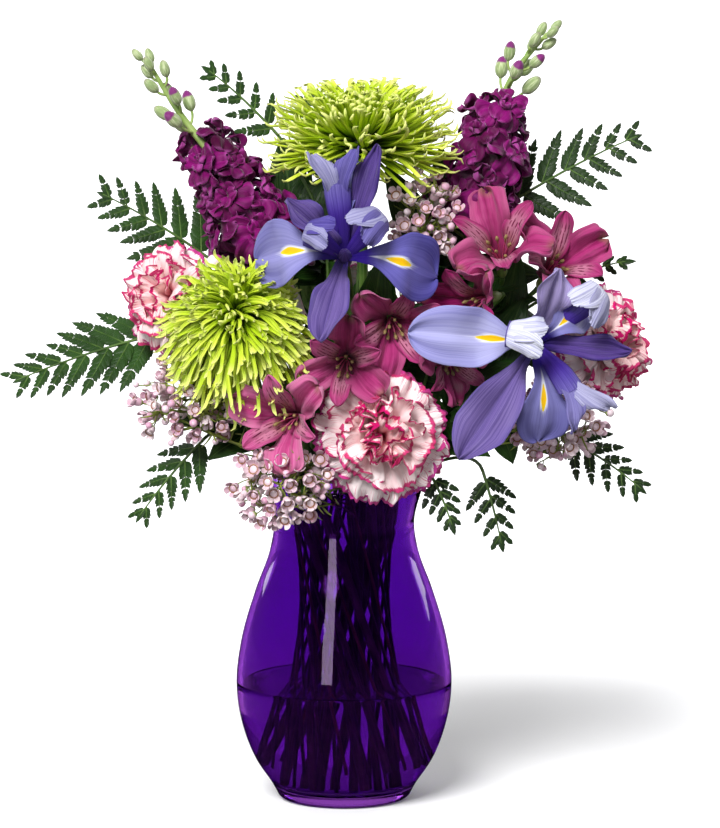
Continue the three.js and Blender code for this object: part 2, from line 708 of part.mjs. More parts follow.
// A ball whose facets each run out into a curling petal, as far as there is room for it.
// Petals that point down are longer by the share droop, and those that point up shorter.
function mumHead({ size, spread, sag, curl, droop }, frame, seed) {
  const random = randomFrom(seed);
  const ball = mergeVertices(new THREE.OctahedronGeometry(11, 3).deleteAttribute('normal')
    .deleteAttribute('uv'), 1e-3);
  ball.scale(0.95, 0.95, 0.82).translate(0, 0, 9.2);
  const points = range(ball.attributes.position.count)
    .map((i) => new THREE.Vector3().fromBufferAttribute(ball.attributes.position, i));
  const down = V(0, 0, -1).transformDirection(frame.clone().invert());
  const faces = [];
  range(ball.index.count / 3).forEach((f) => {
    const corners = range(3).map((k) => ball.index.getX(3 * f + k));
    const middle = corners.reduce((sum, c) => sum.add(points[c]), V(0, 0, 0)).divideScalar(3);
    const way = middle.clone().sub(V(0, 0, 9)).normalize();
    const tilt = Math.acos(way.z);
    if (tilt > deg(spread)) {
      faces.push(corners);
      return;
    }
    const out = V(way.x, way.y, 0).normalize();
    const bent = (a) => out.clone().multiplyScalar(Math.sin(tilt + a)).setZ(Math.cos(tilt + a));
    const fall = 1 + droop * bent(0).dot(down);
    const flat = 0.6 + 0.4 * Math.sin(Math.min(tilt, 1.6));
    const length = fall * size * flat * (0.76 + 0.3 * random()) - 9;
    const knee = along(middle, bent(0), 0.55 * length).addScaledVector(down, 0.2 * sag * length);
    const end = along(knee, bent(curl), 0.42 * length).addScaledVector(down, 0.7 * sag * length);
    const spread3 = corners.map((c) => points[c].clone().sub(middle).setLength(1.5));
    const shape = (keep) => {
      const bend = middle.clone().lerp(knee, keep);
      const last = knee.clone().lerp(end, keep).sub(knee).add(bend);
      return { ring: spread3.map((d) => bend.clone().add(d)), last };
    };
    const room = [1, 0.75, 0.5, 0.25].find((keep) => {
      const { ring, last } = shape(keep);
      const probe = tube([middle, ring[0].clone().add(ring[1]).add(ring[2]).divideScalar(3), last],
        [2, 1.6, 0], 3).applyMatrix4(frame);
      return clearOnes([probe], 0.02).length > 0;
    }) || 0.12;
    const { ring, last } = shape(room);
    const first = points.length;
    points.push(...ring, last);
    range(3).forEach((k) => {
      const n = (k + 1) % 3;
      faces.push([corners[k], corners[n], first + n], [corners[k], first + n, first + k]);
      faces.push([first + k, first + n, first + 3]);
    });
  });
  return moved([shell(points, faces)], frame);
}

function stockFloret(size, seed) {
  const random = randomFrom(seed);
  return [whorl(5, [[size * (0.92 + 0.16 * random()), 3]], {
    under: -4, over: 4.5, cleft: 0.55, frill: 1.8, turn: 6 * random(), parts: 2,
  })];
}

function alstroemeriaBloom(size, seed) {
  const s = size / 44;
  const start = 0.5 + randomFrom(seed)() * 2;
  const parts = [turned([[0, -7], [3, -2], [0, 7]], 5)];
  range(3).forEach((k) => {
    const angle = start + 2 * Math.PI * k / 3;
    parts.push(petal(angle, [
      [0, 1, 0], [11 * s, 23 * s, 9 * s], [24 * s, 34 * s, 11.5 * s], [33 * s, 36 * s, 0],
    ], { cup: 0.2 }));
    parts.push(petal(angle + Math.PI / 3, [
      [0, 1, 0], [13 * s, 30 * s, 6.5 * s], [26 * s, 41 * s, 0],
    ], { cup: 0.1 }));
  });
  return parts;
}

// ---------------------------------------------------------------- stems and heads laid out

const OUT = { iris: 15, mum: 0.4, carnation: 0, stock: 0, alstroemeria: 7 };
IRISES.forEach((b) => hearts.push({ owner: b.name, at: along(b.at, b.axis, 2), radius: 11 }));
MUMS.forEach((b) => hearts.push({ owner: b.name, at: along(b.at, b.axis, 10), radius: 17 }));
CARNATIONS.forEach((b) => hearts.push({ owner: b.name, at: along(b.at, b.axis, 10), radius: 19 }));
STOCKS.forEach((b) => pathPoints(b.path, 8).forEach((at) => hearts.push({ owner: b.name, at, radius: 9 })));
ALSTROEMERIAS.forEach((b) => b.blooms.forEach(([x, y, z, bearing, rise]) => hearts.push({
  owner: b.name, at: along(V(x, y, z), facing(bearing, rise), 4), radius: 7,
})));

const stems = [];
const tip = (at, axis, back) => along(at, axis, -back - GAP);

IRISES.forEach((b) => {
  const path = stemPath(tip(b.at, b.axis, OUT.iris - 2), b.axis, 2.9, b.name);
  const radii = path.map((_, i) => (i === path.length - 2 ? 3.2 : 2.7));
  stems.push([`${b.name}_stem`, [tube(path, radii, 5)]]);
});
MUMS.forEach((b) => {
  const path = stemPath(tip(b.at, b.axis, OUT.mum), b.axis, 2.8, b.name);
  stems.push([`${b.name}_stem`, [tube(path, path.map(() => 2.6), 5)]]);
});
CARNATIONS.forEach((b) => {
  const neck = along(b.at, b.axis, -22);
  const path = stemPath(neck, b.axis, 2.4, b.name);
  const calyx = [along(neck, b.axis, 6), along(neck, b.axis, 14), tip(b.at, b.axis, -0.3)];
  stems.push([`${b.name}_stem`, [
    tube([...path, ...calyx], [...path.map(() => 2.1), 4.6, 6, 7.6], 6),
  ]]);
});
STOCKS.forEach((b) => {
  const axis = b.path[1].clone().sub(b.path[0]).normalize();
  const path = stemPath(tip(b.path[0], axis, 0), axis, 3, b.name);
  stems.push([`${b.name}_stem`, [tube(path, path.map(() => 2.7), 5)]]);
});

// The blooms of an alstroemeria leave one stem below them on short stalks.
ALSTROEMERIAS.forEach((b) => {
  const ends = b.blooms.map(([x, y, z, bearing, rise]) => {
    const axis = facing(bearing, rise);
    return { at: tip(V(x, y, z), axis, OUT.alstroemeria), axis };
  });
  const middle = ends.reduce((sum, e) => sum.add(e.at), V(0, 0, 0)).divideScalar(ends.length);
  const fork = middle.clone().multiply(V(0.62, 0.62, 1)).add(V(0, 0, -34));
  const rise = middle.clone().sub(fork).normalize();
  const path = stemPath(fork, rise, 2.5, b.name);
  const parts = [tube([...path, along(fork, rise, 2)], [...path.map(() => 2.1), 1.6], 4)];
  ends.forEach(({ at, axis }) => {
    const span = at.distanceTo(fork);
    const curve = new THREE.CubicBezierCurve3(
      along(fork, rise, -1), along(fork, rise, 0.35 * span), along(at, axis, -0.35 * span), at,
    );
    const points = [0, 0.5, 1].map((t) => curve.getPoint(t));
    parts.push(tube(points, [1.3, 1.3, 1.5], 3));
    stemsLaid.push({ points: pathPoints(points), radius: 1.5, owner: b.name });
  });
  b.leaves.forEach(([x, y, z, width]) => parts.push(leaf(along(fork, rise, -4), V(x, y, z), width, 16)));
  stems.push([`${b.name}_stem`, parts]);
});

// ---------------------------------------------------------------- building the pieces

publish('vase', 'violet_glass', vaseBody, vaseWide);
stems.forEach(([name, parts]) => place(name, 'stem', parts));

IRISES.forEach((b) => place(`${b.name}_bloom`, 'iris', moved(irisBloom(b), seat(b.at, b.axis))));
CARNATIONS.forEach((b, i) => place(`${b.name}_head`, 'carnation',
  moved(carnationHead(b.size, 11 + i), seat(b.at, b.axis))));
ALSTROEMERIAS.forEach((b, i) => b.blooms.forEach(([x, y, z, bearing, rise, size], k) => {
  const frame = seat(V(x, y, z), facing(bearing, rise));
  place(`${b.name}_bloom_${k + 1}`, 'alstroemeria', moved(alstroemeriaBloom(size, 31 + 7 * i + k), frame));
}));
MUMS.forEach((b, i) => place(`${b.name}_head`, 'mum', mumHead(b, seat(b.at, b.axis), 51 + i)));

STOCKS.forEach((b, i) => {
  const curve = new THREE.CatmullRomCurve3(b.path);
  const spine = range(5).map((k) => curve.getPoint(k / 4));
  const rod = tube(spine, [3, 3, 3, 2.8, 2.6], 4);
  const florets = range(10).flatMap((k) => {
    const t = (k + 0.4) / 10;
    const run = curve.getTangent(t);
    const frame = seat(curve.getPoint(t), run);
    const turn = k * GOLDEN + i;
    const out = V(Math.cos(turn), Math.sin(turn), 0).transformDirection(frame);
    const axis = out.clone().addScaledVector(run, 0.35 + 0.5 * t).normalize();
    const centre = along(curve.getPoint(t), axis, 19 - 7 * t);
    const stalk = tube([along(curve.getPoint(t), axis, 0.5), along(centre, axis, -1)], [1.2, 1.2], 3);
    const flower = moved(stockFloret(20 - 6 * t, 71 + 20 * i + k), seat(centre, axis));
    return clearOnes([flower[0]], 0.1).length ? [stalk, ...flower] : [];
  });
  place(`${b.name}_florets`, 'stock', [rod, ...florets]);
  const top = b.path[2];
  const run = b.tip[0].clone().sub(top).normalize();
  const green = [tube([along(top, run, GAP), ...b.tip], [2.3, 1.9, 1.2], 5)];
  const line = new THREE.CatmullRomCurve3([top, ...b.tip]);
  range(6).forEach((k) => {
    const t = 0.28 + 0.72 * k / 5;
    const frame = seat(line.getPoint(t), line.getTangent(t));
    const out = V(Math.cos(k * GOLDEN), Math.sin(k * GOLDEN), 0).transformDirection(frame);
    const axis = out.addScaledVector(line.getTangent(t), 0.9).normalize();
    const length = 15 - 6 * t;
    const bud = turned([[0.7, 0], [0.26 * length, 0.62 * length], [0, length]], 4);
    green.push(...moved([bud], seat(line.getPoint(t), axis)));
  });
  place(`${b.name}_tip`, 'stem', green);
});

// A slender stalk that finds its way between everything already placed.
function slenderPath(b, end, axis, radius) {
  return stemPath(end, axis, radius, b.name, 5, (path) => {
    const upper = tube(path.slice(1), path.slice(1).map(() => radius), 3);
    return clearOnes([upper], 0.0005).length > 0;
  });
}

SPRAYS.forEach((b, i) => {
  const random = randomFrom(91 + i);
  const path = slenderPath(b, along(b.at, b.axis, 0.4 * b.size[0]), b.axis, 1.4);
  const stalk = tube(path, path.map((_, k) => (k === path.length - 1 ? 0.8 : 1.2)), 3);
  const walk = pathPoints(path, 2).slice(-26);
  const flowers = range(b.count).flatMap((k) => {
    const turn = k * GOLDEN;
    const high = -1 + 2 * (k + 0.5) / b.count;
    const flat = Math.sqrt(1 - high * high) * (0.8 + 0.25 * random());
    const offset = V(flat * Math.cos(turn) * b.size[0], flat * Math.sin(turn) * b.size[1], high * b.size[2]);
    const centre = b.at.clone().add(offset).addScaledVector(b.axis, 0.3 * b.size[0]);
    const from = walk[Math.floor(25 * (k + 0.7) / b.count)];
    const axis = offset.clone().normalize().add(b.axis).add(V(0, -0.5, 0.3)).normalize();
    const flower = cup(from, centre, axis, 6.4 + 1.6 * random());
    return clearOnes([flower], 0.004);
  });
  place(b.name, 'waxflower', [stalk, ...flowers]);
});

FRONDS.forEach((b) => {
  const run = b.to.clone().sub(b.from).normalize();
  const path = slenderPath(b, b.from, along(run, V(0, 0, 1), 0.3).normalize(), 1.3);
  const sag = b.from.clone().lerp(b.to, 0.55).add(V(0, 0, 4));
  const curve = new THREE.QuadraticBezierCurve3(b.from, sag, b.to);
  const stalk = tube([...path, curve.getPoint(0.12)], [...path.map(() => 1.2), 0.8], 3);
  const room = (spots) => [1, 0.75, 0.5, 0.25].find((share) => {
    const [root, left, right, end] = spots(share);
    const leaflet = blade([[root], [left, left.clone().lerp(right, 0.5), right], [end]], 1.6);
    return clearOnes([leaflet], 0.01).length;
  }) || 0.12;
  place(b.name, 'fern', [stalk, frondBlade(curve, b.face, b.half, b.pairs, room)]);
});

// Each leaf leaves the stalk some way below its own tip, as far as the others let it through.
SPRIGS.forEach((b) => {
  const path = slenderPath(b, b.at, b.axis, 1.4);
  const stalk = tube(path, path.map((_, k) => (k === path.length - 1 ? 0.9 : 1.3)), 3);
  const walk = pathPoints(path, 2).slice(-22);
  const leaves = b.leaves.map(([x, y, z, width], k) => {
    const from = walk[Math.round(21 * (k + 0.4) / b.leaves.length)];
    return sprigLeaf(from, V(x, y, z), width);
  });
  place(b.name, 'greenery', [stalk, ...clearOnes(leaves, 0.4)]);
});

// Water, with the stems standing in holes in it.
const inner = VASE_INSIDE.slice().reverse();
const waterProfile = [[0, 7 + GAP]];
inner.slice(1).filter(([, z]) => z < WATER_LEVEL - 2).forEach(([r, z]) => {
  waterProfile.push([r - GAP * 1.1, z + GAP * (z < 12 ? 1 : 0.4)]);
});
waterProfile.push([59.6 - GAP * 1.1, WATER_LEVEL], [0, WATER_LEVEL]);
const water = solid(lathed(waterProfile));
const wideWater = solid(grown(lathed(waterProfile), GAP));
const standing = joined(finished.filter((piece) => piece.name !== 'vase').map((piece) => piece.wide));
publish('water', 'water', mainBody(water.subtract(standing)), wideWater);

export default bunch;
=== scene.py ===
"""Irises in a vase: a mixed bunch of cut flowers and fern in a violet glass vase.

Sizes are in millimetres until a mesh is made. +Z is up and the front of the bunch is -Y.
"""

import math

import bpy
import numpy as np
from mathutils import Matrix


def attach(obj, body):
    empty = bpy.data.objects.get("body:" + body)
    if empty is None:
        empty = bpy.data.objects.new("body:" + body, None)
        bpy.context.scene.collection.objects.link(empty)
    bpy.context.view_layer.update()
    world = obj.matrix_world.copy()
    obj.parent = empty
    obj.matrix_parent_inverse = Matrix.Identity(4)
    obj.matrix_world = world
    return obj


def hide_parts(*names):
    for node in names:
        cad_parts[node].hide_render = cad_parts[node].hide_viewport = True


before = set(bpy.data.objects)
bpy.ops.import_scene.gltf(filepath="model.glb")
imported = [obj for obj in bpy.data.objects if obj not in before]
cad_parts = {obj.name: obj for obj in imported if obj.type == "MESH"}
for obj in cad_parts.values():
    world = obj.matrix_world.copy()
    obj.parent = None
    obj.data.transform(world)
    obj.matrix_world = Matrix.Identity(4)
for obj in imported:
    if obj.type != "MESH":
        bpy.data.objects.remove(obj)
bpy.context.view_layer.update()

GOLDEN = math.pi * (3 - math.sqrt(5))
ROUND = 6.28                  # end of the range of random angles and phases

PICTURE_HEIGHT = 828          # pixels
PIXEL = 0.58e-3               # metres that one pixel covers at the vase
CAMERA_DISTANCE = 3.0         # metres
CAMERA_TILT = 8               # degrees downwards
CAMERA_AIM = 9.3e-3, 226e-3   # metres to the right and up
SENSOR = 36                   # millimetres
LAMP_AIM_HEIGHT = 0.22        # metres
FLOOR_HALF = 40               # metres


# ---------------------------------------------------------------- finishes

def sums(operation, turned=False):
    """One sort of sum with values, with its two terms turned round if it is asked for."""
    def work_out(self, *others):
        terms = (self, *others)
        return self.nodes.work(operation, *(terms[::-1] if turned else terms))
    return work_out


class Value:
    """What changes over a surface. Sums with it add Math nodes."""

    def __init__(self, nodes, socket):
        self.nodes = nodes
        self.socket = socket

    __add__, __radd__ = sums("ADD"), sums("ADD", True)
    __sub__, __rsub__ = sums("SUBTRACT"), sums("SUBTRACT", True)
    __mul__, __rmul__ = sums("MULTIPLY"), sums("MULTIPLY", True)
    __truediv__, __pow__ = sums("DIVIDE"), sums("POWER")
    __abs__, sine = sums("ABSOLUTE"), sums("SINE")


class Nodes:
    """The nodes of one material or of the room's light."""

    def __init__(self, tree):
        self.tree = tree

    def node(self, kind, settings=None, values=(), output=0):
        """Adds a node, sets it up, fills its sockets, and gives back one of its outputs."""
        node = self.tree.nodes.new(kind)
        for key, value in (settings or {}).items():
            if key == "stops":
                ramp = node.color_ramp
                while len(ramp.elements) < len(value):
                    ramp.elements.new(0.5)
                for element, (place, text) in zip(ramp.elements, value):
                    element.position = place
                    element.color = colour(text)
            else:
                setattr(node, key, value)
        pairs = values.items() if isinstance(values, dict) else enumerate(values)
        for socket, value in pairs:
            if isinstance(value, Value):
                self.tree.links.new(value.socket, node.inputs[socket])
            else:
                node.inputs[socket].default_value = colour(value) if isinstance(value, str) else value
        return Value(self, node.outputs[output])

    def work(self, operation, *values):
        return self.node("ShaderNodeMath", {"operation": operation}, values)

    def parts(self, vector):
        node = self.node("ShaderNodeSeparateXYZ", {}, [vector]).socket.node
        return [Value(self, output) for output in node.outputs]

    def spread(self, value, low, high, first=0.0, last=1.0, kind="SMOOTHSTEP"):
        """A step that goes from its first to its last value while another goes from low to high."""
        values = {"Value": value, "From Min": low, "From Max": high, "To Min": first, "To Max": last}
        return self.node("ShaderNodeMapRange", {"interpolation_type": kind}, values)


class Finish(Nodes):
    """One material. Fixed settings go on the shader's own sockets."""

    def __init__(self, name, **fixed):
        self.material = bpy.data.materials.new(name)
        self.material.use_nodes = True
        super().__init__(self.material.node_tree)
        self.shader = self.tree.nodes["Principled BSDF"]
        for socket, value in fixed.items():
            self.shader.inputs[socket.replace("_", " ")].default_value = value

    def feed(self, **links):
        for socket, value in links.items():
            self.tree.links.new(value.socket, self.shader.inputs[socket.replace("_", " ")])

    def place(self):
        """How far along a petal a point is, how far across it, and the petal's own number."""
        return self.parts(self.node("ShaderNodeAttribute", {"attribute_name": "grain"}, output="Vector"))

    def back(self):
        """One on the back of a petal, nought on its front."""
        return self.node("ShaderNodeAttribute", {"attribute_name": "back"}, output="Fac")

    def body(self):
        """The point itself, in metres."""
        return self.node("ShaderNodeTexCoord", output="Object")

    def spot(self, *place):
        return self.node("ShaderNodeCombineXYZ", {}, place)

    def noise(self, at, scale, detail=2.0, rough=0.5):
        values = {"Vector": at, "Scale": scale, "Detail": detail, "Roughness": rough}
        return self.node("ShaderNodeTexNoise", {}, values, output="Fac")

    def step(self, value, low, high):
        """A soft step from nought at low to one at high."""
        return self.spread(value, low, high)

    def mix(self, share, first, second):
        """One colour turning into another."""
        return self.node("ShaderNodeMix", {"data_type": "RGBA"}, {0: share, 6: first, 7: second}, 2)

    def ramp(self, value, *stops):
        return self.node("ShaderNodeValToRGB", {"stops": stops}, [value], output="Color")

    def bump(self, height, depth, strength=0.5):
        """Relief from a height between nought and one, as deep as given in metres."""
        values = {"Strength": strength, "Distance": depth, "Height": height}
        self.feed(Normal=self.node("ShaderNodeBump", {}, values))


def colour(text):
    """A colour of the shader from six hex digits."""
    parts = [int(text[k:k + 2], 16) / 255 for k in (0, 2, 4)]
    return *(p / 12.92 if p <= 0.04045 else ((p + 0.055) / 1.055) ** 2.4 for p in parts), 1


def finish(name, paint, *look, **fixed):
    """A material with fixed settings, and a function that paints what changes over the surface."""
    f = Finish(name, **fixed)
    paint(f, *look)
    return f.material


def veined(f, u, v, tone, count, spread=0.35):
    """Fine veins that run out from the base and fan towards the rim."""
    fan = v * count * (1 - spread * u)
    wander = f.noise(f.spot(u * 3, v * 2, tone * 9), 2.2)
    return f.noise(f.spot(fan + wander * 1.6, u * 0.8, tone * 37), 1.0, 3, 0.6)


def iris_fall(f):
    u, v, tone = f.place()
    vein = veined(f, u, v, tone, 34)
    edge = f.step(abs(v) + 0.8 * f.step(u, 0.76, 1.0), 0.45, 1.3)
    pale = f.mix(tone, "524aa4", "b8b8e4")
    deep = f.mix(tone, "281c74", "8280c2")
    blade = f.mix(0.28 * f.step(vein, 0.40, 0.64) + 0.55 * edge, pale, deep)
    haft = f.mix(f.step(u, 0.28, 0.46), "2c1480", blade)
    halo = ((u - 0.60) / 0.27) ** 2 + (v / 0.22) ** 2 + 0.9 * (vein - 0.5)
    light = f.mix(0.9 * (1 - f.step(halo, 0.4, 1.2)), haft, "eeeef8")
    beyond = f.step(u, 0.66, 0.84)
    patch = ((u - 0.66) / 0.19) ** 2 + (v / 0.15) ** 2 * (1 + 1.6 * beyond) + 0.3 * (vein - 0.5)
    yellow = f.mix(f.step(patch, 0.2, 0.9), "eeb603", "f2d51c")
    f.feed(Base_Color=f.mix(1 - f.step(patch, 0.84, 1.06), light, yellow), Roughness=0.42 + 0.2 * vein)
    f.bump(vein, 0.0003, 0.7)


def iris_standard(f):
    u, v, tone = f.place()
    vein = veined(f, u, v, tone, 26, 0.1)
    streak = f.step(vein, 0.36, 0.66) * (1 - 0.5 * tone)
    blade = f.mix(0.75 * streak, f.mix(tone, "4a2a82", "b0a2d2"), f.mix(tone, "1e0854", "6e5aa6"))
    base = f.mix(f.step(u, 0.05, 0.40 - 0.2 * tone), "200a66", blade)
    edge = 0.4 * f.step(abs(v), 0.75, 1.0)
    f.feed(Base_Color=f.mix(edge, base, f.mix(tone, "2d1480", "8c80c2")), Roughness=0.4 + 0.2 * vein)
    f.bump(vein, 0.0005, 0.7)


def iris_style(f):
    u, v, tone = f.place()
    vein = veined(f, u, v, tone, 14, 0.1)
    streak = f.step(vein, 0.42, 0.62)
    crest = f.mix(0.6 * streak, f.mix(tone, "5c50a2", "e9ebf7"), f.mix(tone, "2c1a74", "9c9bd0"))
    arm = f.mix(0.5 * streak, "4a2f9c", "260f74")
    f.feed(Base_Color=f.mix(f.step(u, 0.26, 0.56), arm, crest), Roughness=0.42 + 0.15 * vein)
    f.bump(vein, 0.0008, 0.7)


def carnation_petal(f):
    u, v, tone = f.place()
    feather = f.noise(f.spot(v * 17, u * 1.1, tone * 53), 1.5, 4, 0.65)
    broad = f.noise(f.spot(v * 2.2, u * 1.5, tone * 31), 1.4, 2)
    rim_at = u + 0.16 * f.step(abs(v), 0.78, 1.0) * f.step(u, 0.5, 0.9)
    edge = f.step(rim_at + 0.13 * (feather - 0.5) + 0.05 * (broad - 0.5), 0.915, 0.94)
    stroke = f.step(feather, 0.55, 0.60) * f.step(u + 0.36 * (broad - 0.5), 0.66, 0.88)
    outer = f.mix(f.step(u, 0.15, 0.55), "f4e0d2", "fffaf8")
    # Inner petals are deep crimson towards their base: partly the bloom's own flush, partly painted shade in
    # its crowded centre.
    inner = f.mix(f.step(u, 0.30, 0.80), "d8345c", "ffe2de")
    flesh = f.mix(f.step(tone, 0.30, 0.95), outer, inner)
    shade = f.mix(0.28 * f.step(broad, 0.45, 0.75), flesh, "f6a6b4")
    crimson = f.mix(f.step(tone + 0.5 * broad, 0.30, 0.90), "b40a8c", "c40664")
    front = f.mix(edge, f.mix(0.85 * stroke, shade, "cc2068"), crimson)
    f.feed(Base_Color=f.mix(0.15 * f.back(), front, "e38aa6"), Roughness=0.55 + 0.2 * broad)
    f.bump(feather, 0.0006, 0.6)


def mum_petal(f):
    u, v, tone = f.place()
    line = f.noise(f.spot(v * 3.5, u * 1.5, tone * 41), 1.4, 2)
    # Painted shade: the straps turn dark green towards their base, where they crowd into the heart of the
    # head.
    base = f.mix(f.step(u, 0.05, 0.55), "36500a", "93b80c")
    light = f.mix(tone, "b6d216", "dfe950")
    body = f.mix(0.9 * f.step(u + 0.3 * (line - 0.5), 0.25, 0.75), base, light)
    tips = f.mix(0.85 * f.step(u, 0.74, 1.0), body, "eff29a")
    f.feed(Base_Color=f.mix(0.4 * f.step(line, 0.5, 0.7), tips, "86a80c"), Roughness=0.38 + 0.2 * line)
    f.bump(line, 0.0004, 0.5)


def stock_petal(f):
    u, v, tone = f.place()
    vein = veined(f, u, v, tone, 7, 0.0)
    cloud = f.noise(f.body(), 60, 2)
    streaked = f.mix(0.45 * f.step(vein, 0.4, 0.68), f.mix(tone, "46022f", "8a0c70"), "36022a")
    soft = f.mix(0.25 * f.step(cloud, 0.45, 0.7), streaked, "98207a")
    heart = f.mix(f.step(u, 0.02, 0.20), "7d7a30", soft)
    # Painted highlight: the petals turn pale pinkish violet at their rims.
    f.feed(Base_Color=f.mix(0.45 * f.step(u, 0.86, 1.0), heart, "c05cb0"), Roughness=0.44 + 0.2 * vein)
    f.bump(vein + cloud, 0.0009, 0.7)


def alstroemeria_petal(f, striped):
    u, v, tone = f.place()
    vein = veined(f, u, v, tone, 12, 0.1)
    cloud = f.noise(f.spot(v * 1.5, u * 3, tone * 21), 1.3, 2)
    dusk = 0.6 * f.step(vein, 0.38, 0.62) + 0.35 * f.step(cloud, 0.4, 0.7)
    body = f.mix(dusk, f.mix(tone, "b40a76", "f084bc"), f.mix(tone, "64023c", "be1f7c"))
    if striped:
        heart = f.step(u, 0.22, 0.42) * (1 - f.step(u, 0.70, 0.92)) * (1 - f.step(abs(v), 0.5, 0.95))
        blade = f.mix(0.85 * heart, body, f.mix(f.step(u, 0.3, 0.62), "d8b67c", "e2a4ba"))
        rows = f.step((v * 23 + 1.2 + 2 * (cloud - 0.5)).sine(), 0.25, 0.6)
        breaks = f.step(f.noise(f.spot(v * 4, u * 8, tone * 17), 1.6, 1), 0.44, 0.50)
        reach = f.step(u, 0.28, 0.38) * (1 - f.step(u, 0.80, 0.90)) * (1 - f.step(abs(v), 0.65, 0.85))
        body = f.mix(rows * breaks * reach, blade, "4a0a26")
    else:
        edge = f.step(abs(v) + 0.3 * vein, 0.6, 1.1)
        body = f.mix(0.45 * edge, body, f.mix(tone, "c43e88", "f6bcd6"))
        spot = f.step(u, 0.88, 1.0) * (1 - f.step(abs(v), 0.2, 0.7))
        body = f.mix(0.6 * spot, body, "7d8a3a")
    # Green at the very base of the petal, then painted shade: deep crimson that darkens the throat until two
    # thirds along.
    shaded_throat = f.mix(f.step(u, 0.0, 0.14), "8ba04a", f.mix(f.step(u, 0.12, 0.66), "700a3a", body))
    f.feed(Base_Color=f.mix(0.45 * f.back(), shaded_throat, "901c58"), Roughness=0.4 + 0.2 * vein)
    f.bump(vein, 0.0009, 0.7)


def waxflower_petal(f):
    u, v, tone = f.place()
    cloud = f.noise(f.spot(v, u * 2, tone * 47), 2.2, 3)
    rim = f.mix(0.5 * f.step(u + 0.3 * (cloud - 0.5), 0.7, 1.0), f.mix(tone, "efdde2", "cfa3b8"), "faf0f0")
    f.feed(Base_Color=f.mix(0.5 * f.step(cloud, 0.5, 0.75), rim, "bd8a9c"))
    f.bump(cloud, 0.0004, 0.5)


def waxflower_heart(f):
    u = f.place()[0]
    speck = f.noise(f.body(), 900, 2)
    rings = f.ramp(u, (0.0, "8c8a34"), (0.35, "7a5a24"), (0.62, "7a3a26"), (0.82, "a87a5c"), (1.0, "e4cac6"))
    f.feed(Base_Color=f.mix(0.4 * f.step(speck, 0.5, 0.7), rings, "c9b45e"))
    f.bump(speck, 0.0004, 0.6)


def waxflower_bud(f):
    u, _, tone = f.place()
    cloud = f.noise(f.body(), 300, 2)
    low = f.mix(f.step(u + 0.2 * (cloud - 0.5), 0.28, 0.5), "8ea050", f.mix(tone, "f6e3ea", "dc9fbe"))
    f.feed(Base_Color=f.mix(0.35 * f.step(u, 0.8, 1.0), low, "fbf3f5"))
    f.bump(cloud, 0.0003, 0.4)


def fern_leaflet(f, low, high):
    u, v, tone = f.place()
    rib = 1 - f.step(abs(v), 0.0, 0.09)
    side = f.step((u * 34 + abs(v) * 8).sine(), 0.2, 0.9)
    cloud = f.noise(f.body(), 55, 3)
    body = f.mix(0.7 * f.step(cloud, 0.35, 0.7) + 0.3 * tone, low, high)
    veins = f.mix(0.28 * rib + 0.10 * side, body, "4a6a2c")
    f.feed(Base_Color=f.mix(0.4 * f.back(), veins, "35502a"), Roughness=0.3 + 0.25 * cloud)
    f.bump(0.6 * side + cloud - rib, 0.0007, 0.6)


def long_leaf(f, low, high, lined=0.3):
    """A leaf with long veins; lined tells how strongly they show."""
    u, v, tone = f.place()
    line = f.step(f.noise(f.spot(v * 9, u * 1.2, tone * 11), 1.6, 2), 0.4, 0.65)
    cloud = f.noise(f.body(), 45, 3)
    body = f.mix(0.6 * f.step(cloud, 0.35, 0.68) + 0.4 * tone, low, high)
    rib = 1.3 * lined * (1 - f.step(abs(v), 0.0, 0.08))
    veins = f.mix(lined * line, body, "6c8a3c")
    f.feed(Base_Color=f.mix(rib, veins, "7f9e4c"), Roughness=0.36 + 0.25 * cloud)
    f.bump(line + 0.5 * cloud, 0.0005, 0.5)


def cut_stem(f, low, high):
    u, v, tone = f.place()
    cloud = f.noise(f.body(), 70, 3)
    line = f.noise(f.spot(v * 7, u * 2, tone * 5), 1.5, 2)
    body = f.mix(f.step(cloud, 0.35, 0.65), low, high)
    f.feed(Base_Color=f.mix(0.4 * f.step(line, 0.45, 0.7), body, "94ad60"), Roughness=0.36 + 0.25 * cloud)
    f.bump(line + cloud, 0.0004, 0.5)


def stock_bud(f):
    u, v, tone = f.place()
    line = f.noise(f.spot(v * 9, u * 1.5, tone * 13), 1.6, 2)
    green = f.mix(f.step(line, 0.4, 0.65), "8fa66a", "c3cfa0")
    opened = f.step(u + 0.12 * (line - 0.5), 0.62, 0.70) * f.step(tone, 0.35, 0.45)
    blush = f.mix(0.4 * f.step(u, 0.78, 1.0), green, "7a4468")
    f.feed(Base_Color=f.mix(opened, blush, f.mix(line, "5a1050", "9a2a8a")))
    f.bump(line, 0.0006, 0.6)


def anther(f):
    u = f.place()[0]
    grain = f.noise(f.body(), 1200, 2)
    f.feed(Base_Color=f.mix(f.step(u, 0.72, 0.8), "d8608e", f.mix(grain, "6a4a3a", "b0a060")))
    f.bump(grain, 0.0003, 0.6)


def violet_glass(f):
    swirl = f.noise(f.body(), 9, 2)
    # Painted light: the glass is lighter and more magenta low down, standing in for the light through the
    # water.
    low = f.mix(f.step(f.parts(f.body())[2], 0.02, 0.12), "8c46ae", "7b36ac")
    f.feed(Base_Color=f.mix(0.35 * swirl, low, "6a2ea6"))
    f.bump(swirl, 0.0012, 0.12)


def clear_water(f):
    ripple = f.noise(f.body(), 25, 1)
    f.feed(Base_Color=f.mix(ripple, "efe4ff", "f7efff"))
    f.bump(ripple, 0.0006, 0.08)


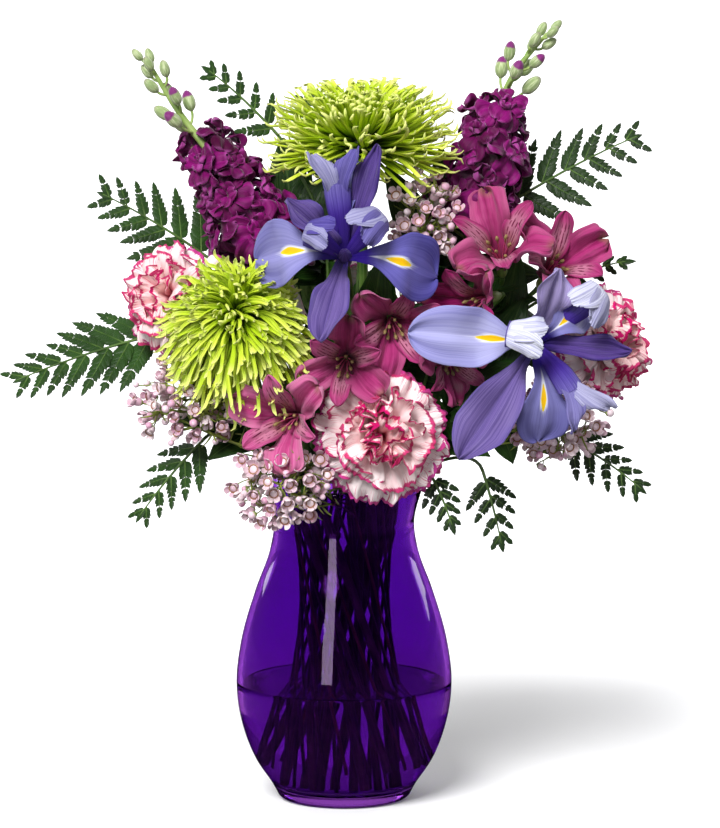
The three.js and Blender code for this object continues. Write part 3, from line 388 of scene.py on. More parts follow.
def pale_floor(f):
    """A pale floor under bright studio light, with painted light: it glows by itself, more strongly away
    from the vase, so that the bunch's shadow fades there.
    """
    aside, behind, _ = f.parts(f.body())
    away = f.step(((1.6 * aside) ** 2 + behind ** 2) ** 0.5, 0.20, 0.56)
    pale = f.mix(f.noise(f.body(), 3, 2), "f7f7f8", "fbfbfc")
    f.feed(Base_Color=pale, Emission_Color=f.mix(away, "464648", "b4b4b6"))


# ---------------------------------------------------------------- camera, light and floor

def add(name, data):
    thing = bpy.data.objects.new(name, data)
    bpy.context.scene.collection.objects.link(thing)
    return thing


def add_camera():
    """A long lens in front of the bunch, looking down a little."""
    lens = bpy.data.cameras.new("long_lens")
    lens.sensor_width = SENSOR
    lens.lens = SENSOR * CAMERA_DISTANCE / (PICTURE_HEIGHT * PIXEL)
    camera = add("camera", lens)
    tilt = math.radians(CAMERA_TILT)
    right, up = CAMERA_AIM
    camera.location = (right, -CAMERA_DISTANCE * math.cos(tilt), up + CAMERA_DISTANCE * math.sin(tilt))
    camera.rotation_euler = (math.pi / 2 - tilt, 0, 0)
    bpy.context.scene.camera = camera


def add_lamp(name, kind, bearing, rise, distance, **settings):
    """A lamp aimed at the middle of the bunch; the bearing is to the right of the viewer."""
    lamp = bpy.data.lights.new(name, kind)
    for key, value in settings.items():
        setattr(lamp, key, value)
    stand = add(name, lamp)
    b, r = math.radians(bearing), math.radians(rise)
    stand.location = (distance * math.sin(b) * math.cos(r), -distance * math.cos(b) * math.cos(r),
                      LAMP_AIM_HEIGHT + distance * math.sin(r))
    stand.rotation_euler = (math.pi / 2 - r, 0, b)
    stand.visible_camera = False
    stand.visible_diffuse = kind == "SUN"
    stand.visible_glossy = kind != "SUN"


def light_the_room():
    """White light from all round, strongest from behind and at eye level: the front keeps its shade."""
    world = bpy.data.worlds.new("white_studio")
    world.use_nodes = True
    room = Nodes(world.node_tree)
    _, y, z = room.parts(room.node("ShaderNodeTexCoord", output="Generated"))
    from_behind = room.spread(y, -0.3, 0.8, 0.22, 0.95)
    eye_level = room.spread(abs(z), 0.10, 0.16, 1.0, 0.0, "LINEAR")
    light = room.work("MAXIMUM", from_behind, eye_level)
    room.tree.links.new(light.socket, room.tree.nodes["Background"].inputs["Color"])
    bpy.context.scene.world = world
    world.cycles_visibility.glossy = False


def make_floor():
    corners = [(x * FLOOR_HALF, y * FLOOR_HALF, 0) for x, y in ((-1, -1), (1, -1), (1, 1), (-1, 1))]
    mesh = bpy.data.meshes.new("floor")
    mesh.from_pydata(corners, [], [(0, 1, 2, 3)])
    mesh.materials.append(
        finish("pale_floor", pale_floor, Roughness=0.6, Emission_Strength=1.0, Specular_IOR_Level=0.1))
    floor = add("floor", mesh)
    floor.visible_diffuse = False
    floor.visible_glossy = False


# ---------------------------------------------------------------- shapes

def vec(x, y, z):
    return np.array([x, y, z], float)


def unit(v):
    return v / max(np.linalg.norm(v), 1e-9)


def units(rows):
    """Many directions, each made one long."""
    return rows / np.maximum(np.linalg.norm(rows, axis=-1, keepdims=True), 1e-9)


def around(turn, rise=0.0):
    """Way out at an angle round the z axis."""
    return vec(math.cos(turn), math.sin(turn), rise)


def near(random, tone, spread):
    """A tone like another one, but a little off it."""
    return np.clip(tone + random.uniform(-spread, spread), 0, 1)


def facing(bearing, rise):
    """Direction given by its bearing from the viewer (to the right is positive) and its rise."""
    b, r = math.radians(bearing), math.radians(rise)
    return vec(math.sin(b) * math.cos(r), -math.cos(b) * math.cos(r), math.sin(r))


class Seat:
    """Frame of a bloom: its own z along the axis, its x to the right, its y upwards."""

    def __init__(self, origin, axis, roll=0.0):
        z = unit(np.asarray(axis, float))
        up = vec(0, 1, 0) if abs(z[2]) > 0.95 else vec(0, 0, 1)
        x = unit(np.cross(up, z))
        y = np.cross(z, x)
        c, s = math.cos(roll), math.sin(roll)
        self.turn = np.array([c * x + s * y, c * y - s * x, z])
        self.origin = np.asarray(origin, float)

    def put(self, points):
        return points @ self.turn + self.origin

    def way(self, direction):
        return direction @ self.turn


def through(stations, values, at):
    """A smooth curve through values at stations."""
    slopes = np.gradient(values, stations, axis=0)
    k = np.clip(np.searchsorted(stations, at) - 1, 0, len(stations) - 2)
    span = stations[k + 1] - stations[k]
    t = (at - stations[k]) / span
    if values.ndim > 1:
        t, span = t[:, None], span[:, None]
    a, b = 2 * t**3 - 3 * t**2 + 1, t**3 - 2 * t**2 + t
    c, d = 3 * t**2 - 2 * t**3, t**3 - t**2
    return a * values[k] + b * span * slopes[k] + c * values[k + 1] + d * span * slopes[k + 1]


def line(points, count):
    """A smooth line through points, with points evenly spread along it."""
    points = np.asarray(points, float)
    run = np.r_[0, np.cumsum(np.linalg.norm(np.diff(points, axis=0), axis=1))]
    return through(run / run[-1], points, np.linspace(0, 1, count))


def bowed(start, middle, end, count):
    """A curve from start to end that is drawn towards a middle point."""
    t = np.linspace(0, 1, count)[:, None]
    return (1 - t) ** 2 * start + 2 * t * (1 - t) * middle + t**2 * end


def stalk_between(start, start_way, end, end_way, count):
    """A smooth stalk that leaves one point and arrives at another along given directions."""
    pull = 0.35
    span = np.linalg.norm(end - start)
    t = np.linspace(0, 1, count)[:, None]
    a, b = start + start_way * pull * span, end - end_way * pull * span
    return (1 - t) ** 3 * start + 3 * (1 - t) ** 2 * t * a + 3 * (1 - t) * t**2 * b + t**3 * end


def blade(path, aside, up, widths, heights):
    """A grid of points along a path, each so far aside from it and so far above it."""
    aside, up = np.reshape(aside, (-1, 1, 3)), np.reshape(up, (-1, 1, 3))
    return path[:, None, :] + aside * widths[..., None] + up * heights[..., None]


def hoops(profile, sides):
    """Rings of points round the z axis, one for each (radius, height) of a profile."""
    angle = 2 * np.pi * np.arange(sides) / sides
    ring = np.stack([np.cos(angle), np.sin(angle)], axis=1)
    return np.array([np.column_stack([r * ring, np.full(sides, z)]) for r, z in profile])


def faces(*corners):
    """Faces from arrays of their first, second and further corners."""
    return np.stack(corners, axis=-1).reshape(-1, len(corners))


class Shape:
    """Points and faces of one piece, with the place of each point on its petal.

    The kind of a part is the number of its finish in the list that the piece is made with.
    """

    def __init__(self):
        self.points, self.grain, self.back = [], [], []
        self.corners, self.sizes, self.kinds = [], [], []
        self.count = 0

    def add(self, points, grain, back, groups, kind):
        self.points.append(points)
        self.grain.append(grain)
        self.back.append(np.broadcast_to(back, (len(points),)))
        for group in groups:
            self.corners.append((group + self.count).ravel())
            self.sizes.append(np.full(len(group), group.shape[1]))
            self.kinds.append(np.full(len(group), kind))
        self.count += len(points)

    def sheet(self, grid, kind, thickness, tone, u=None):
        """A thin petal over a grid of points, thinner at its rim."""
        rows, columns = grid.shape[:2]
        n = rows * columns
        u = np.linspace(0, 1, rows) if u is None else u
        v = np.linspace(-1, 1, columns)
        normal = units(np.cross(np.gradient(grid, axis=1), np.gradient(grid, axis=0)))
        inside = np.minimum(np.minimum(u, 1 - u)[:, None] * 5, (1 - abs(v))[None, :] * 3)
        half = thickness * (0.16 + 0.34 * np.clip(inside, 0, 1))[..., None]
        points = np.concatenate([grid + normal * half, grid - normal * half]).reshape(-1, 3)
        place = np.stack([np.repeat(u, columns), np.tile(v, rows), np.full(n, tone)], axis=1)
        at = np.arange(n).reshape(rows, columns)
        top = faces(at[:-1, :-1], at[:-1, 1:], at[1:, 1:], at[1:, :-1])
        edge = np.concatenate([at[0, :-1], at[:-1, -1], at[-1, :0:-1], at[:0:-1, 0]])
        after = np.roll(edge, -1)
        rim = faces(after, edge, edge + n, after + n)
        back = np.repeat([0.0, 1.0], n)
        self.add(points, np.tile(place, (2, 1)), back, [top, top[:, ::-1] + n, rim], kind)

    def petal(self, seat, kind, thickness, *form, tone=0.5, **bends):
        """A sheet over the grid of a petal of the bloom on a seat."""
        grid, u = petal(*form, **bends)
        self.sheet(seat.put(grid), kind, thickness, tone, u)

    def closed(self, rings, ends, kind, tone=0.5, first=0, last=1):
        """A body over rings of points, closed at both ends; along it the grain goes from first to last."""
        count, sides = rings.shape[:2]
        n = count * sides
        u = np.linspace(first, last, count)
        v = np.abs(np.linspace(-1, 1, sides, endpoint=False))
        place = np.stack([np.repeat(u, sides), np.tile(v, count), np.full(n, tone)], axis=1)
        at = np.arange(n).reshape(count, sides)
        beside = np.roll(at, -1, axis=1)
        wall = faces(at[:-1], beside[:-1], beside[1:], at[1:])
        low = faces(beside[0], at[0], np.full(sides, n))
        high = faces(at[-1], beside[-1], np.full(sides, n + 1))
        place = np.concatenate([place, [[first, 0, tone], [last, 0, tone]]])
        self.add(np.concatenate([rings.reshape(-1, 3), ends]), place, 0.0, [wall, low, high], kind)

    def tube(self, path, radii, kind, sides):
        """A stalk along a path, closed at both ends."""
        radii = np.broadcast_to(np.asarray(radii, float), (len(path),))
        run = units(np.gradient(path, axis=0))
        across = vec(1, 0, 0) if abs(run[0][2]) > 0.9 else vec(0, 0, 1)
        angle = (2 * np.pi * np.arange(sides) / sides)[:, None]
        rings = []
        for p, r, d in zip(path, radii, run):
            across = unit(across - d * across.dot(d))
            rings.append(p + r * (np.cos(angle) * across + np.sin(angle) * np.cross(d, across)))
        self.closed(np.array(rings), path[[0, -1]], kind)

    def turned(self, seat, profile, kind, sides, tone, rows):
        """A body turned round its own z axis, profile as (radius, height)."""
        profile = line(profile, rows)
        profile[:, 0] = np.maximum(profile[:, 0], 0.02)
        ends = np.array([[0, 0, profile[0, 1]], [0, 0, profile[-1, 1]]])
        self.closed(seat.put(hoops(profile, sides)), seat.put(ends), kind, tone)

    def piece(self, name, node, slot, looks):
        """Makes the object, in metres, in the place of its node in the frame."""
        mesh = bpy.data.meshes.new(name)
        points = np.concatenate(self.points) * 0.001
        counts = np.concatenate(self.sizes)
        corners = np.concatenate(self.corners)
        mesh.vertices.add(len(points))
        mesh.vertices.foreach_set("co", points.astype(np.float32).ravel())
        mesh.loops.add(len(corners))
        mesh.loops.foreach_set("vertex_index", corners.astype(np.int32))
        mesh.polygons.add(len(counts))
        mesh.polygons.foreach_set("loop_start", np.r_[0, np.cumsum(counts)[:-1]].astype(np.int32))
        mesh.polygons.foreach_set("material_index", np.concatenate(self.kinds).astype(np.int32))
        mesh.update(calc_edges=True)
        mesh.polygons.foreach_set("use_smooth", np.ones(len(counts), bool))
        grain = mesh.attributes.new("grain", "FLOAT_VECTOR", "POINT")
        grain.data.foreach_set("vector", np.concatenate(self.grain).astype(np.float32).ravel())
        back = mesh.attributes.new("back", "FLOAT", "POINT")
        back.data.foreach_set("value", np.concatenate(self.back).astype(np.float32))
        for look in looks:
            mesh.materials.append(look)
        piece = add(name, mesh)
        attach(piece, "root")
        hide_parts(node)


def petal(angle, spine, rows, columns, cup, tip=2.0, lean=0.0, side_wave=(0, 3), end_wave=(0, 3),
          ruffle=(0, 6), phase=0.0, notch=0.0, teeth=0.0, fold=0.0, twist=0.0, swing=0.0):
    """Grid of a petal that leaves the bloom's axis at an angle round it.

    Each entry of the spine is (distance out, height, half width); the waves are (height, number).
    Towards its end the petal turns by the twist and moves aside by the swing.
    """
    out_way = around(angle)
    side_way = vec(-math.sin(angle), math.cos(angle), 0)
    up = vec(0, 0, 1)
    out, height, half = np.asarray(spine, float).T
    steps = np.r_[0, np.cumsum(np.hypot(np.diff(out), np.diff(height)))]
    steps = steps / steps[-1]
    u = 1 - (1 - np.linspace(0, 1, rows)) ** 1.45
    centre = through(steps, np.stack([out, height], axis=1), u)
    cut_off = half[-1] != 0
    if cut_off:
        width = through(steps, half, u)
    else:
        t = np.clip((u - steps[-2]) / (1 - steps[-2]), 0, 0.997)
        rounded = half[-2] * (1 - t**tip) ** (1 / tip)
        width = np.where(u < steps[-2], through(steps[:-1], half[:-1], np.minimum(u, steps[-2])), rounded)
    w = np.maximum(width, 0.25)[:, None]
    run = units(np.gradient(centre, axis=0))
    lift = -run[:, 1:] * out_way + run[:, :1] * up
    ahead = run[:, :1] * out_way + run[:, 1:] * up
    aside = lean * centre[:, :1] + swing * u[:, None] ** 2
    middle = centre[:, :1] * out_way + aside * side_way + centre[:, 1:] * up
    uu, vv = np.meshgrid(u, np.linspace(-1, 1, columns), indexing="ij")
    rise = cup * w * vv**2 - fold * w * np.exp(-((vv / 0.16) ** 2))
    swell = np.sin(side_wave[1] * np.pi * uu + phase + 0.9 * np.sign(vv))
    rise = rise + side_wave[0] * swell * np.abs(vv) ** 2 * np.minimum(1, w / 4)
    rise = rise + end_wave[0] * np.sin(end_wave[1] * np.pi * vv + phase) * uu**2.2
    rise = rise + ruffle[0] * np.sin(ruffle[1] * np.pi * vv + 2.7 * phase) * uu**6
    turn = twist * u[:, None] ** 1.5
    across = np.cos(turn) * side_way + np.sin(turn) * lift
    raised = np.cos(turn) * lift - np.sin(turn) * side_way
    push = -notch * np.exp(-((vv / 0.22) ** 2)) * uu**6
    if teeth:
        ragged = np.abs(np.sin(vv * 12.0 + phase)) * (0.6 + 0.4 * np.sin(vv * 5.0 + 2 * phase))
        push = push - teeth * ragged * uu**8
    if cut_off:
        push = push - 0.42 * w * vv**2 * uu**4
    return blade(middle, across, raised, w * vv, rise) + ahead[:, None, :] * push[..., None], u


def follow(node):
    """The middle line of a stem, read from its solid by cutting it at heights from the foot up."""
    step, reach = 4.0, 6.0
    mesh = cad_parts[node].data
    points = np.zeros(len(mesh.vertices) * 3)
    mesh.vertices.foreach_get("co", points)
    points = points.reshape(-1, 3) * 1000
    edges = np.zeros(len(mesh.edges) * 2, int)
    mesh.edges.foreach_get("vertices", edges)
    a, b = points[edges.reshape(-1, 2)].transpose(1, 0, 2)
    low, high = points[:, 2].min(), points[:, 2].max()
    foot = points[points[:, 2] < low + 1.5].mean(axis=0)
    found = [foot]
    for z in np.arange(low + step, high, step):
        meets = (np.minimum(a[:, 2], b[:, 2]) <= z) & (np.maximum(a[:, 2], b[:, 2]) > z)
        t = ((z - a[meets, 2]) / (b[meets, 2] - a[meets, 2]))[:, None]
        cut = a[meets] + t * (b[meets] - a[meets])
        guess = found[-1] if len(found) < 2 else 2 * found[-1] - found[-2]
        own = cut[np.linalg.norm(cut - guess, axis=1) < reach]
        if not len(own):
            break
        found.append((own.min(axis=0) + own.max(axis=0)) / 2)
    return np.array(found)


def clear_part(path, clear):
    """The lower part of a middle line, up to its first point that isn't clear."""
    count = len(path) if clear.all() else np.argmax(~clear)
    return path[:count] if count > 5 else path[:6]


def grown(path, end, way, between, count):
    """A line along the path and on from its last point to the end, where it goes the given way."""
    joint = stalk_between(path[-1], unit(path[-1] - path[-3]), end, way, between)
    return line(np.vstack([path, joint[1:]]), count)


# ---------------------------------------------------------------- where everything sits

# First seed of the random draws of each sort.
SEEDS = dict(carnation=11, bloom=31, mum=51, stock=71, spray=91, frond=131, alstroemeria=151, sprig=171)

# Petals of an iris begin with their angle round the axis and their reach. After these come, for a
# fall, the drop, the half width and how far out its yellow mark is; for a standard, the rise, the
# half width and the tone; for a style arm, the size and tone of its crest and whether it flares.
IRISES = {
    "iris_1": dict(
        at=(0.6, -50, 323), axis=facing(0, 20), tones=(0.5, 0.12, 0.3),
        falls=[(181, 50, -4, 19, 0.6), (-12, 53, -4, 19, 0.6), (92, 57, 2, 12, 0.6)],
        standards=[(-104, 56, 22, 12, 0.25), (72, 62, 26, 8, 0.1), (142, 42, 30, 9, 0.2)],
        styles=[(158, 24, 0.72, 0.16, False), (38, 28, 0.90, 0.22, False), (97, 36, 0.85, 0.2, True)],
    ),
    "iris_2": dict(
        at=(108, -42, 273), axis=facing(15, 8), tones=(0.95, 0.35, 0.4),
        falls=[(174, 78, 14, 17, 0.38), (-90, 56, 2, 15, 0.6), (40, 34, 0, 14, 0.6)],
        standards=[(-128, 82, 14, 16, 0.3), (-8, 52, 22, 8, 0.1), (80, 42, 30, 12, 1.0)],
        styles=[(166, 24, 0.85, 0.95, False), (40, 44, 0.95, 0.6, False), (-62, 32, 0.9, 0.3, True)],
    ),
}
# The straps of a chrysanthemum spread so many degrees from its axis; above the height "flat" the
# head is pressed together.
MUMS = {
    "mum_1": dict(
        at=(10, 0, 374), axis=facing(0, 82), size=53, spread=112, sag=0.10, curl=-0.22, sway=0.12,
        flat=37, droop=0.0, bend=0.3, strap=1.3,
    ),
    "mum_2": dict(
        at=(-58, -34, 287), axis=facing(-14, 6), size=46, spread=110, sag=0.48, curl=0.0, sway=0.24,
        flat=60, droop=0.26, bend=0.95, strap=1.1,
    ),
}
STRAPS = 540
CARNATIONS = {
    "carnation_1": dict(at=(21, -40, 220), axis=facing(4, 8), size=40),
    "carnation_2": dict(at=(-92, -8, 293), axis=facing(-40, 16), size=34),
    "carnation_3": dict(at=(140, -4, 266), axis=facing(46, 4), size=36),
    "carnation_4": dict(at=(-22, 58, 296), axis=facing(190, 34), size=36),
}
# Rings of petals of a carnation: petals, tilt, length and half width against the bloom's size.
CARNATION_RINGS = [(6, 97, 1.0, 0.48), (6, 83, 0.99, 0.47), (6, 69, 0.98, 0.45), (6, 55, 0.96, 0.42),
                   (6, 42, 0.95, 0.39), (5, 29, 0.92, 0.36), (4, 16, 0.88, 0.32)]
STOCKS = {
    "stock_1": dict(
        path=[(-44, 6, 318), (-58, 8, 345), (-78, 8, 378)],
        tip=[(-96, 8, 402), (-113, 8, 430)],
    ),
    "stock_2": dict(
        path=[(72, 12, 326), (80, 12, 362), (88, 11, 400)],
        tip=[(99, 10, 424), (117, 8, 446)],
    ),
}
STOCK_FLORETS = 15
STOCK_BUDS = 12
# Blooms as (x, y, z of the base, bearing, rise, size, paleness); leaves as (x, y, z of the tip, width).
ALSTROEMERIAS = {
    "alstroemeria_1": dict(
        blooms=[(91, -6, 311, -6, 40, 44, 0.3), (115, 4, 303, 22, 34, 42, 0.25),
                (86, -14, 296, -35, -5, 38, 0.05)],
        leaves=[(70, -52, 226, 20)],
    ),
    "alstroemeria_2": dict(
        blooms=[(26, -24, 286, 6, -8, 40, 0.3), (2, -32, 263, -4, 0, 38, 0.45),
                (56, -29, 266, 20, -18, 30, 0.35)],
        leaves=[(-26, -30, 236, 15), (62, -20, 300, 14)],
    ),
    "alstroemeria_3": dict(blooms=[(-24, -36, 230, -22, 4, 42, 0.8)], leaves=[(-24, -66, 190, 12)]),
    "alstroemeria_4": dict(
        blooms=[(46, 60, 268, 150, 20, 42, 0.5)],
        leaves=[(20, 84, 232, 18), (70, 44, 236, 16)],
    ),
}
SPRAYS = {
    "waxflower_1": dict(at=(46, -14, 338), axis=facing(25, 60), size=(20, 13, 28), count=30),
    "waxflower_2": dict(at=(-80, -30, 240), axis=facing(-62, -4), size=(34, 16, 28), count=40),
    "waxflower_3": dict(at=(-32, -56, 200), axis=facing(-24, -28), size=(29, 13, 27), count=42, top=212),
    "waxflower_4": dict(at=(116, -24, 228), axis=facing(66, -4), size=(28, 16, 30), count=42),
    "waxflower_5": dict(at=(-62, 54, 250), axis=facing(220, 14), size=(26, 18, 26), count=30, front=0.4),
}
TWIGS = 11                    # of a spray
SPRAY_BUDS = 22
NEEDLES = 80
TRIES = 1200                  # places tried for flowers and buds
# Fronds: start and tip of the leafy part, way its face is turned, half width, leaflet pairs.
FRONDS = {
    "fern_1": ((-76, 26, 312), (-140, 20, 352), facing(-10, 30), 30, 6),
    "fern_2": ((-106, 10, 272), (-190, -4, 246), facing(-14, 40), 32, 7),
    "fern_3": ((-80, -12, 214), (-118, -26, 170), facing(-30, 30), 22, 5),
    "fern_4": ((-38, 20, 386), (-78, 16, 424), facing(0, 30), 16, 5),
    "fern_5": ((96, 26, 346), (170, 18, 386), facing(6, 26), 28, 6),
    "fern_6": ((128, 18, 300), (163, 8, 314), facing(4, 40), 9, 4),
    "fern_7": ((126, -2, 214), (172, -12, 184), facing(10, 30), 20, 5),
    "fern_8": ((80, -20, 196), (91, -26, 154), facing(0, 20), 16, 4),
    "fern_9": ((4, 50, 340), (-18, 72, 404), facing(186, 10), 28, 6),
    "fern_10": ((84, 58, 250), (134, 90, 262), facing(160, 40), 28, 5),
    "fern_11": ((-40, 80, 226), (-88, 112, 208), facing(205, 40), 26, 5),
    "fern_12": ((50, -38, 196), (62, -44, 168), facing(0, 20), 12, 4),
}
# Fronds on the right and low in front, away from the key light: their darker finish is painted shade.
SHADED_FRONDS = ("fern_5", "fern_6", "fern_7", "fern_8", "fern_12")
# Leafy sprigs, whose nearly black leaves fill the gaps between the blooms and partly stand for the shade
# there: end of the stalk, way it grows there, and the leaves as (x, y, z of the tip, width).
SPRIGS = {
    "greenery_1": dict(
        at=(-34, 24, 338), axis=facing(-60, 66),
        leaves=[(-46, 8, 314, 26), (-64, 26, 348, 24), (-8, 24, 364, 24), (-36, 30, 384, 26)],
    ),
    "greenery_2": dict(
        at=(46, 20, 332), axis=facing(20, 66),
        leaves=[(38, 0, 308, 24), (84, 12, 312, 24), (24, 22, 368, 24), (66, 20, 354, 26)],
        more=[((54, 16, 300), (116, 10, 306), 30), ((52, 14, 300), (92, 4, 268), 28),
              ((60, 20, 316), (56, 22, 380), 26)],
    ),
    "greenery_3": dict(
        at=(10, 0, 270), axis=facing(0, 70),
        leaves=[(-24, -6, 262, 26), (46, -2, 268, 26), (-14, 0, 300, 26), (28, 4, 306, 26)],
        more=[((14, 2, 262), (62, -6, 290), 26), ((14, 2, 250), (70, -8, 240), 26),
              ((12, 2, 262), (22, -14, 320), 24)],
    ),
    "greenery_4": dict(
        at=(80, -8, 236), axis=facing(60, 40),
        leaves=[(84, -34, 206, 22), (100, -24, 226, 24), (66, -14, 262, 24), (106, -10, 258, 26)],
        more=[((82, -6, 240), (104, 0, 294), 28), ((80, -8, 232), (60, -22, 206), 22),
              ((88, 4, 254), (101, 10, 320), 26), ((84, -6, 226), (98, -8, 198), 18),
              ((90, -4, 230), (126, -10, 202), 24)],
    ),
    "greenery_5": dict(
        at=(-66, -10, 228), axis=facing(-60, 30),
        leaves=[(-50, -36, 208, 22), (-78, -30, 204, 24), (-98, -18, 224, 24), (-92, -6, 252, 26)],
    ),
    "greenery_6": dict(
        at=(10, 50, 276), axis=facing(180, 66),
        leaves=[(-36, 62, 262, 28), (-28, 58, 302, 28), (24, 66, 306, 28)],
    ),
}
SMALL_LEAVES = 12             # of a sprig
# From the base of a bloom down its axis to the end of its stem.
IRIS_NECK, MUM_NECK, CARNATION_NECK, CALYX_NECK, ALSTROEMERIA_NECK = 13.5, 0.4, 22, 0.3, 7.35
VASE_OUTSIDE = [(33, 0), (41, 7), (52, 24), (60, 46), (62.8, 67), (60, 93), (51.5, 123), (43, 147),
                (40.8, 162), (46, 185)]
VASE_INSIDE = [(44, 187), (37.4, 162), (39.8, 147), (48.2, 123), (56.8, 93), (59.6, 67), (56.8, 46),
               (48.6, 25), (37, 9)]
VASE_SIDES = 120
WATER_LEVEL = 68


# ---------------------------------------------------------------- vase and water

def round_body(name, node, slot, look, profile):
    """A body turned round Z from a closed profile that starts and ends on the axis."""
    (_, low), *wall, (_, high) = profile
    shape = Shape()
    shape.closed(hoops(wall, VASE_SIDES), [[0, 0, low], [0, 0, high]], 0)
    shape.piece(name, node, slot, [look])


def arc(centre, radius, start, end, count):
    angles = np.radians(np.linspace(start, end, count))
    return [(centre[0] + radius * math.cos(a), centre[1] + radius * math.sin(a)) for a in angles]


def make_vase():
    outside = line([(38.5, 2.2)] + VASE_OUTSIDE[1:], 70)
    inside = line(VASE_INSIDE[1:-1] + [(41, 12.5)], 70)
    base = [(0, 0.9), (20, 0.9), (27, 0.5), (31, 0.0), (34.5, 0.0), (36.8, 0.8)]
    lip = arc((44.9, 185.3), 1.1, -10, 170, 9)
    rim_fall = line([(43.7, 184.2), (41.6, 178.5), (38.6, 169), (37.5, 163)], 10)
    floor = [(38, 10.2), (33, 8.6), (22, 7.4), (10, 7.0), (0, 7.0)]
    profile = [*base, *outside, *lip, *rim_fall, *inside, *floor]
    glass = finish("violet_glass", violet_glass, Roughness=0.015, IOR=1.44, Transmission_Weight=1.0,
                   Specular_Tint=(0.42, 0.34, 0.44, 1))
    round_body("glass_vase", "vase", "violet_glass", glass, profile)


def make_water():
    wall = [(r + 0.15, z) for r, z in reversed(VASE_INSIDE[5:-1])]
    side = line([(38.2, 10.1), (41.1, 12.4), *wall[:-1], (59.75, 67.2)], 30)
    floor = [(0, 6.9), (10, 6.9), (22, 7.3), (33, 8.5)]
    top = [(59.7, 0.9), (58.9, 0.25), (57.5, 0), (40, 0), (20, 0), (0, 0)]
    top = [(r, WATER_LEVEL + up) for r, up in top]
    water = finish("vase_water", clear_water, Roughness=0.0, IOR=1.2, Transmission_Weight=1.0)
    round_body("vase_water", "water", "water", water, [*floor, *side, *top])


# ---------------------------------------------------------------- blooms

def make_iris(name, b, looks):
    seat = Seat(b["at"], b["axis"])
    shape = Shape()
    fall, standard, style = range(3)
    tube = [(2.6, -15), (3.9, -10), (4.6, -2), (4.2, 4), (2.0, 9), (0.3, 12)]
    shape.turned(seat, tube, standard, 14, 0.1, 14)
    for k, (angle, reach, drop, half, signal) in enumerate(b["falls"]):
        mid = 0.55 * (17 + drop)
        out = reach * np.interp([0.18, 0.40, 0.52, 0.64, 0.79], [0, 0.6, 1], [0, signal, 1])
        spine = [(0, -2, 2.2), (out[0], 10, 3.6), (out[1], 17, 0.38 * half), (out[2], 17.5, 0.64 * half),
                 (out[3], 16.5, 0.93 * half), (out[4], mid + 2, half * 1.02), (reach, drop, 0)]
        grid, u = petal(math.radians(angle), spine, 48, 29, 0.12, 1.9, side_wave=(1.9, 4.5), phase=1.3 * k,
                        fold=0.07, end_wave=(1.2, 2.2), twist=0.22 * (k - 1))
        mark = (0.31, 0.55) if signal < 0.5 else (0.45, 0.70)
        u = np.interp(u, [0, *mark, 1], [0, 0.47, 0.86, 1])
        shape.sheet(seat.put(grid), fall, 0.8, b["tones"][k], u)
    for k, (angle, reach, rise, half, tone) in enumerate(b["standards"]):
        spine = [(0, -2, 2.0), (0.18 * reach, 8, 4.2), (0.5 * reach, 0.62 * rise + 4, 0.86 * half),
                 (0.74 * reach, 0.92 * rise + 1, half), (reach, rise, 0)]
        shape.petal(seat, standard, 0.8, math.radians(angle), spine, 48, 25, 0.26, 1.45, side_wave=(3.0, 5),
                    phase=2.1 * k, fold=0.22, end_wave=(1.6, 2.6), twist=(0.5, -0.45, 0.6)[k],
                    ruffle=(0.8, 4), tone=tone)
    for k, (angle, reach, scale, pale, flare) in enumerate(b["styles"]):
        angle = math.radians(angle)
        arm = [(0, 0, 2.4), (0.3 * reach, 12, 4.6), (0.6 * reach, 21, 6.8), (reach, 26, 7.6)]
        grid, u = petal(angle, arm, 22, 13, -0.34)
        shape.sheet(seat.put(grid), style, 1.0, 0.1, u * 0.45)
        start = (reach - (5 if flare else 4), 22, 4.0)
        if flare:
            rest = [(4, 28, 5.6), (11, 31, 7.6), (17, 32, 8.0), (22, 30, 6.0)]
        else:
            rest = [(0, 29, 6.6), (-6, 36, 8.6), (-15, 40, 9.2), (-23, 40, 7.4)]
        crest = [start, *((reach + out * scale, high, half * scale) for out, high, half in rest)]
        for s in (-1, 1):
            grid, u = petal(angle, crest, 36, 41, 0.22, lean=0.05 * s, end_wave=(1.4 * scale, 1.7),
                            phase=1.7 * s + k, teeth=1.5, side_wave=(1.0 * scale, 3), ruffle=(0.45, 11),
                            twist=0.5 * s, swing=(11 if flare else 8) * s * scale)
            shape.sheet(seat.put(grid), style, 0.7, np.clip(pale + 0.15 * s, 0, 1), 0.45 + 0.55 * u)
    shape.piece(f"{name}_flower", f"{name}_bloom", "iris", looks)


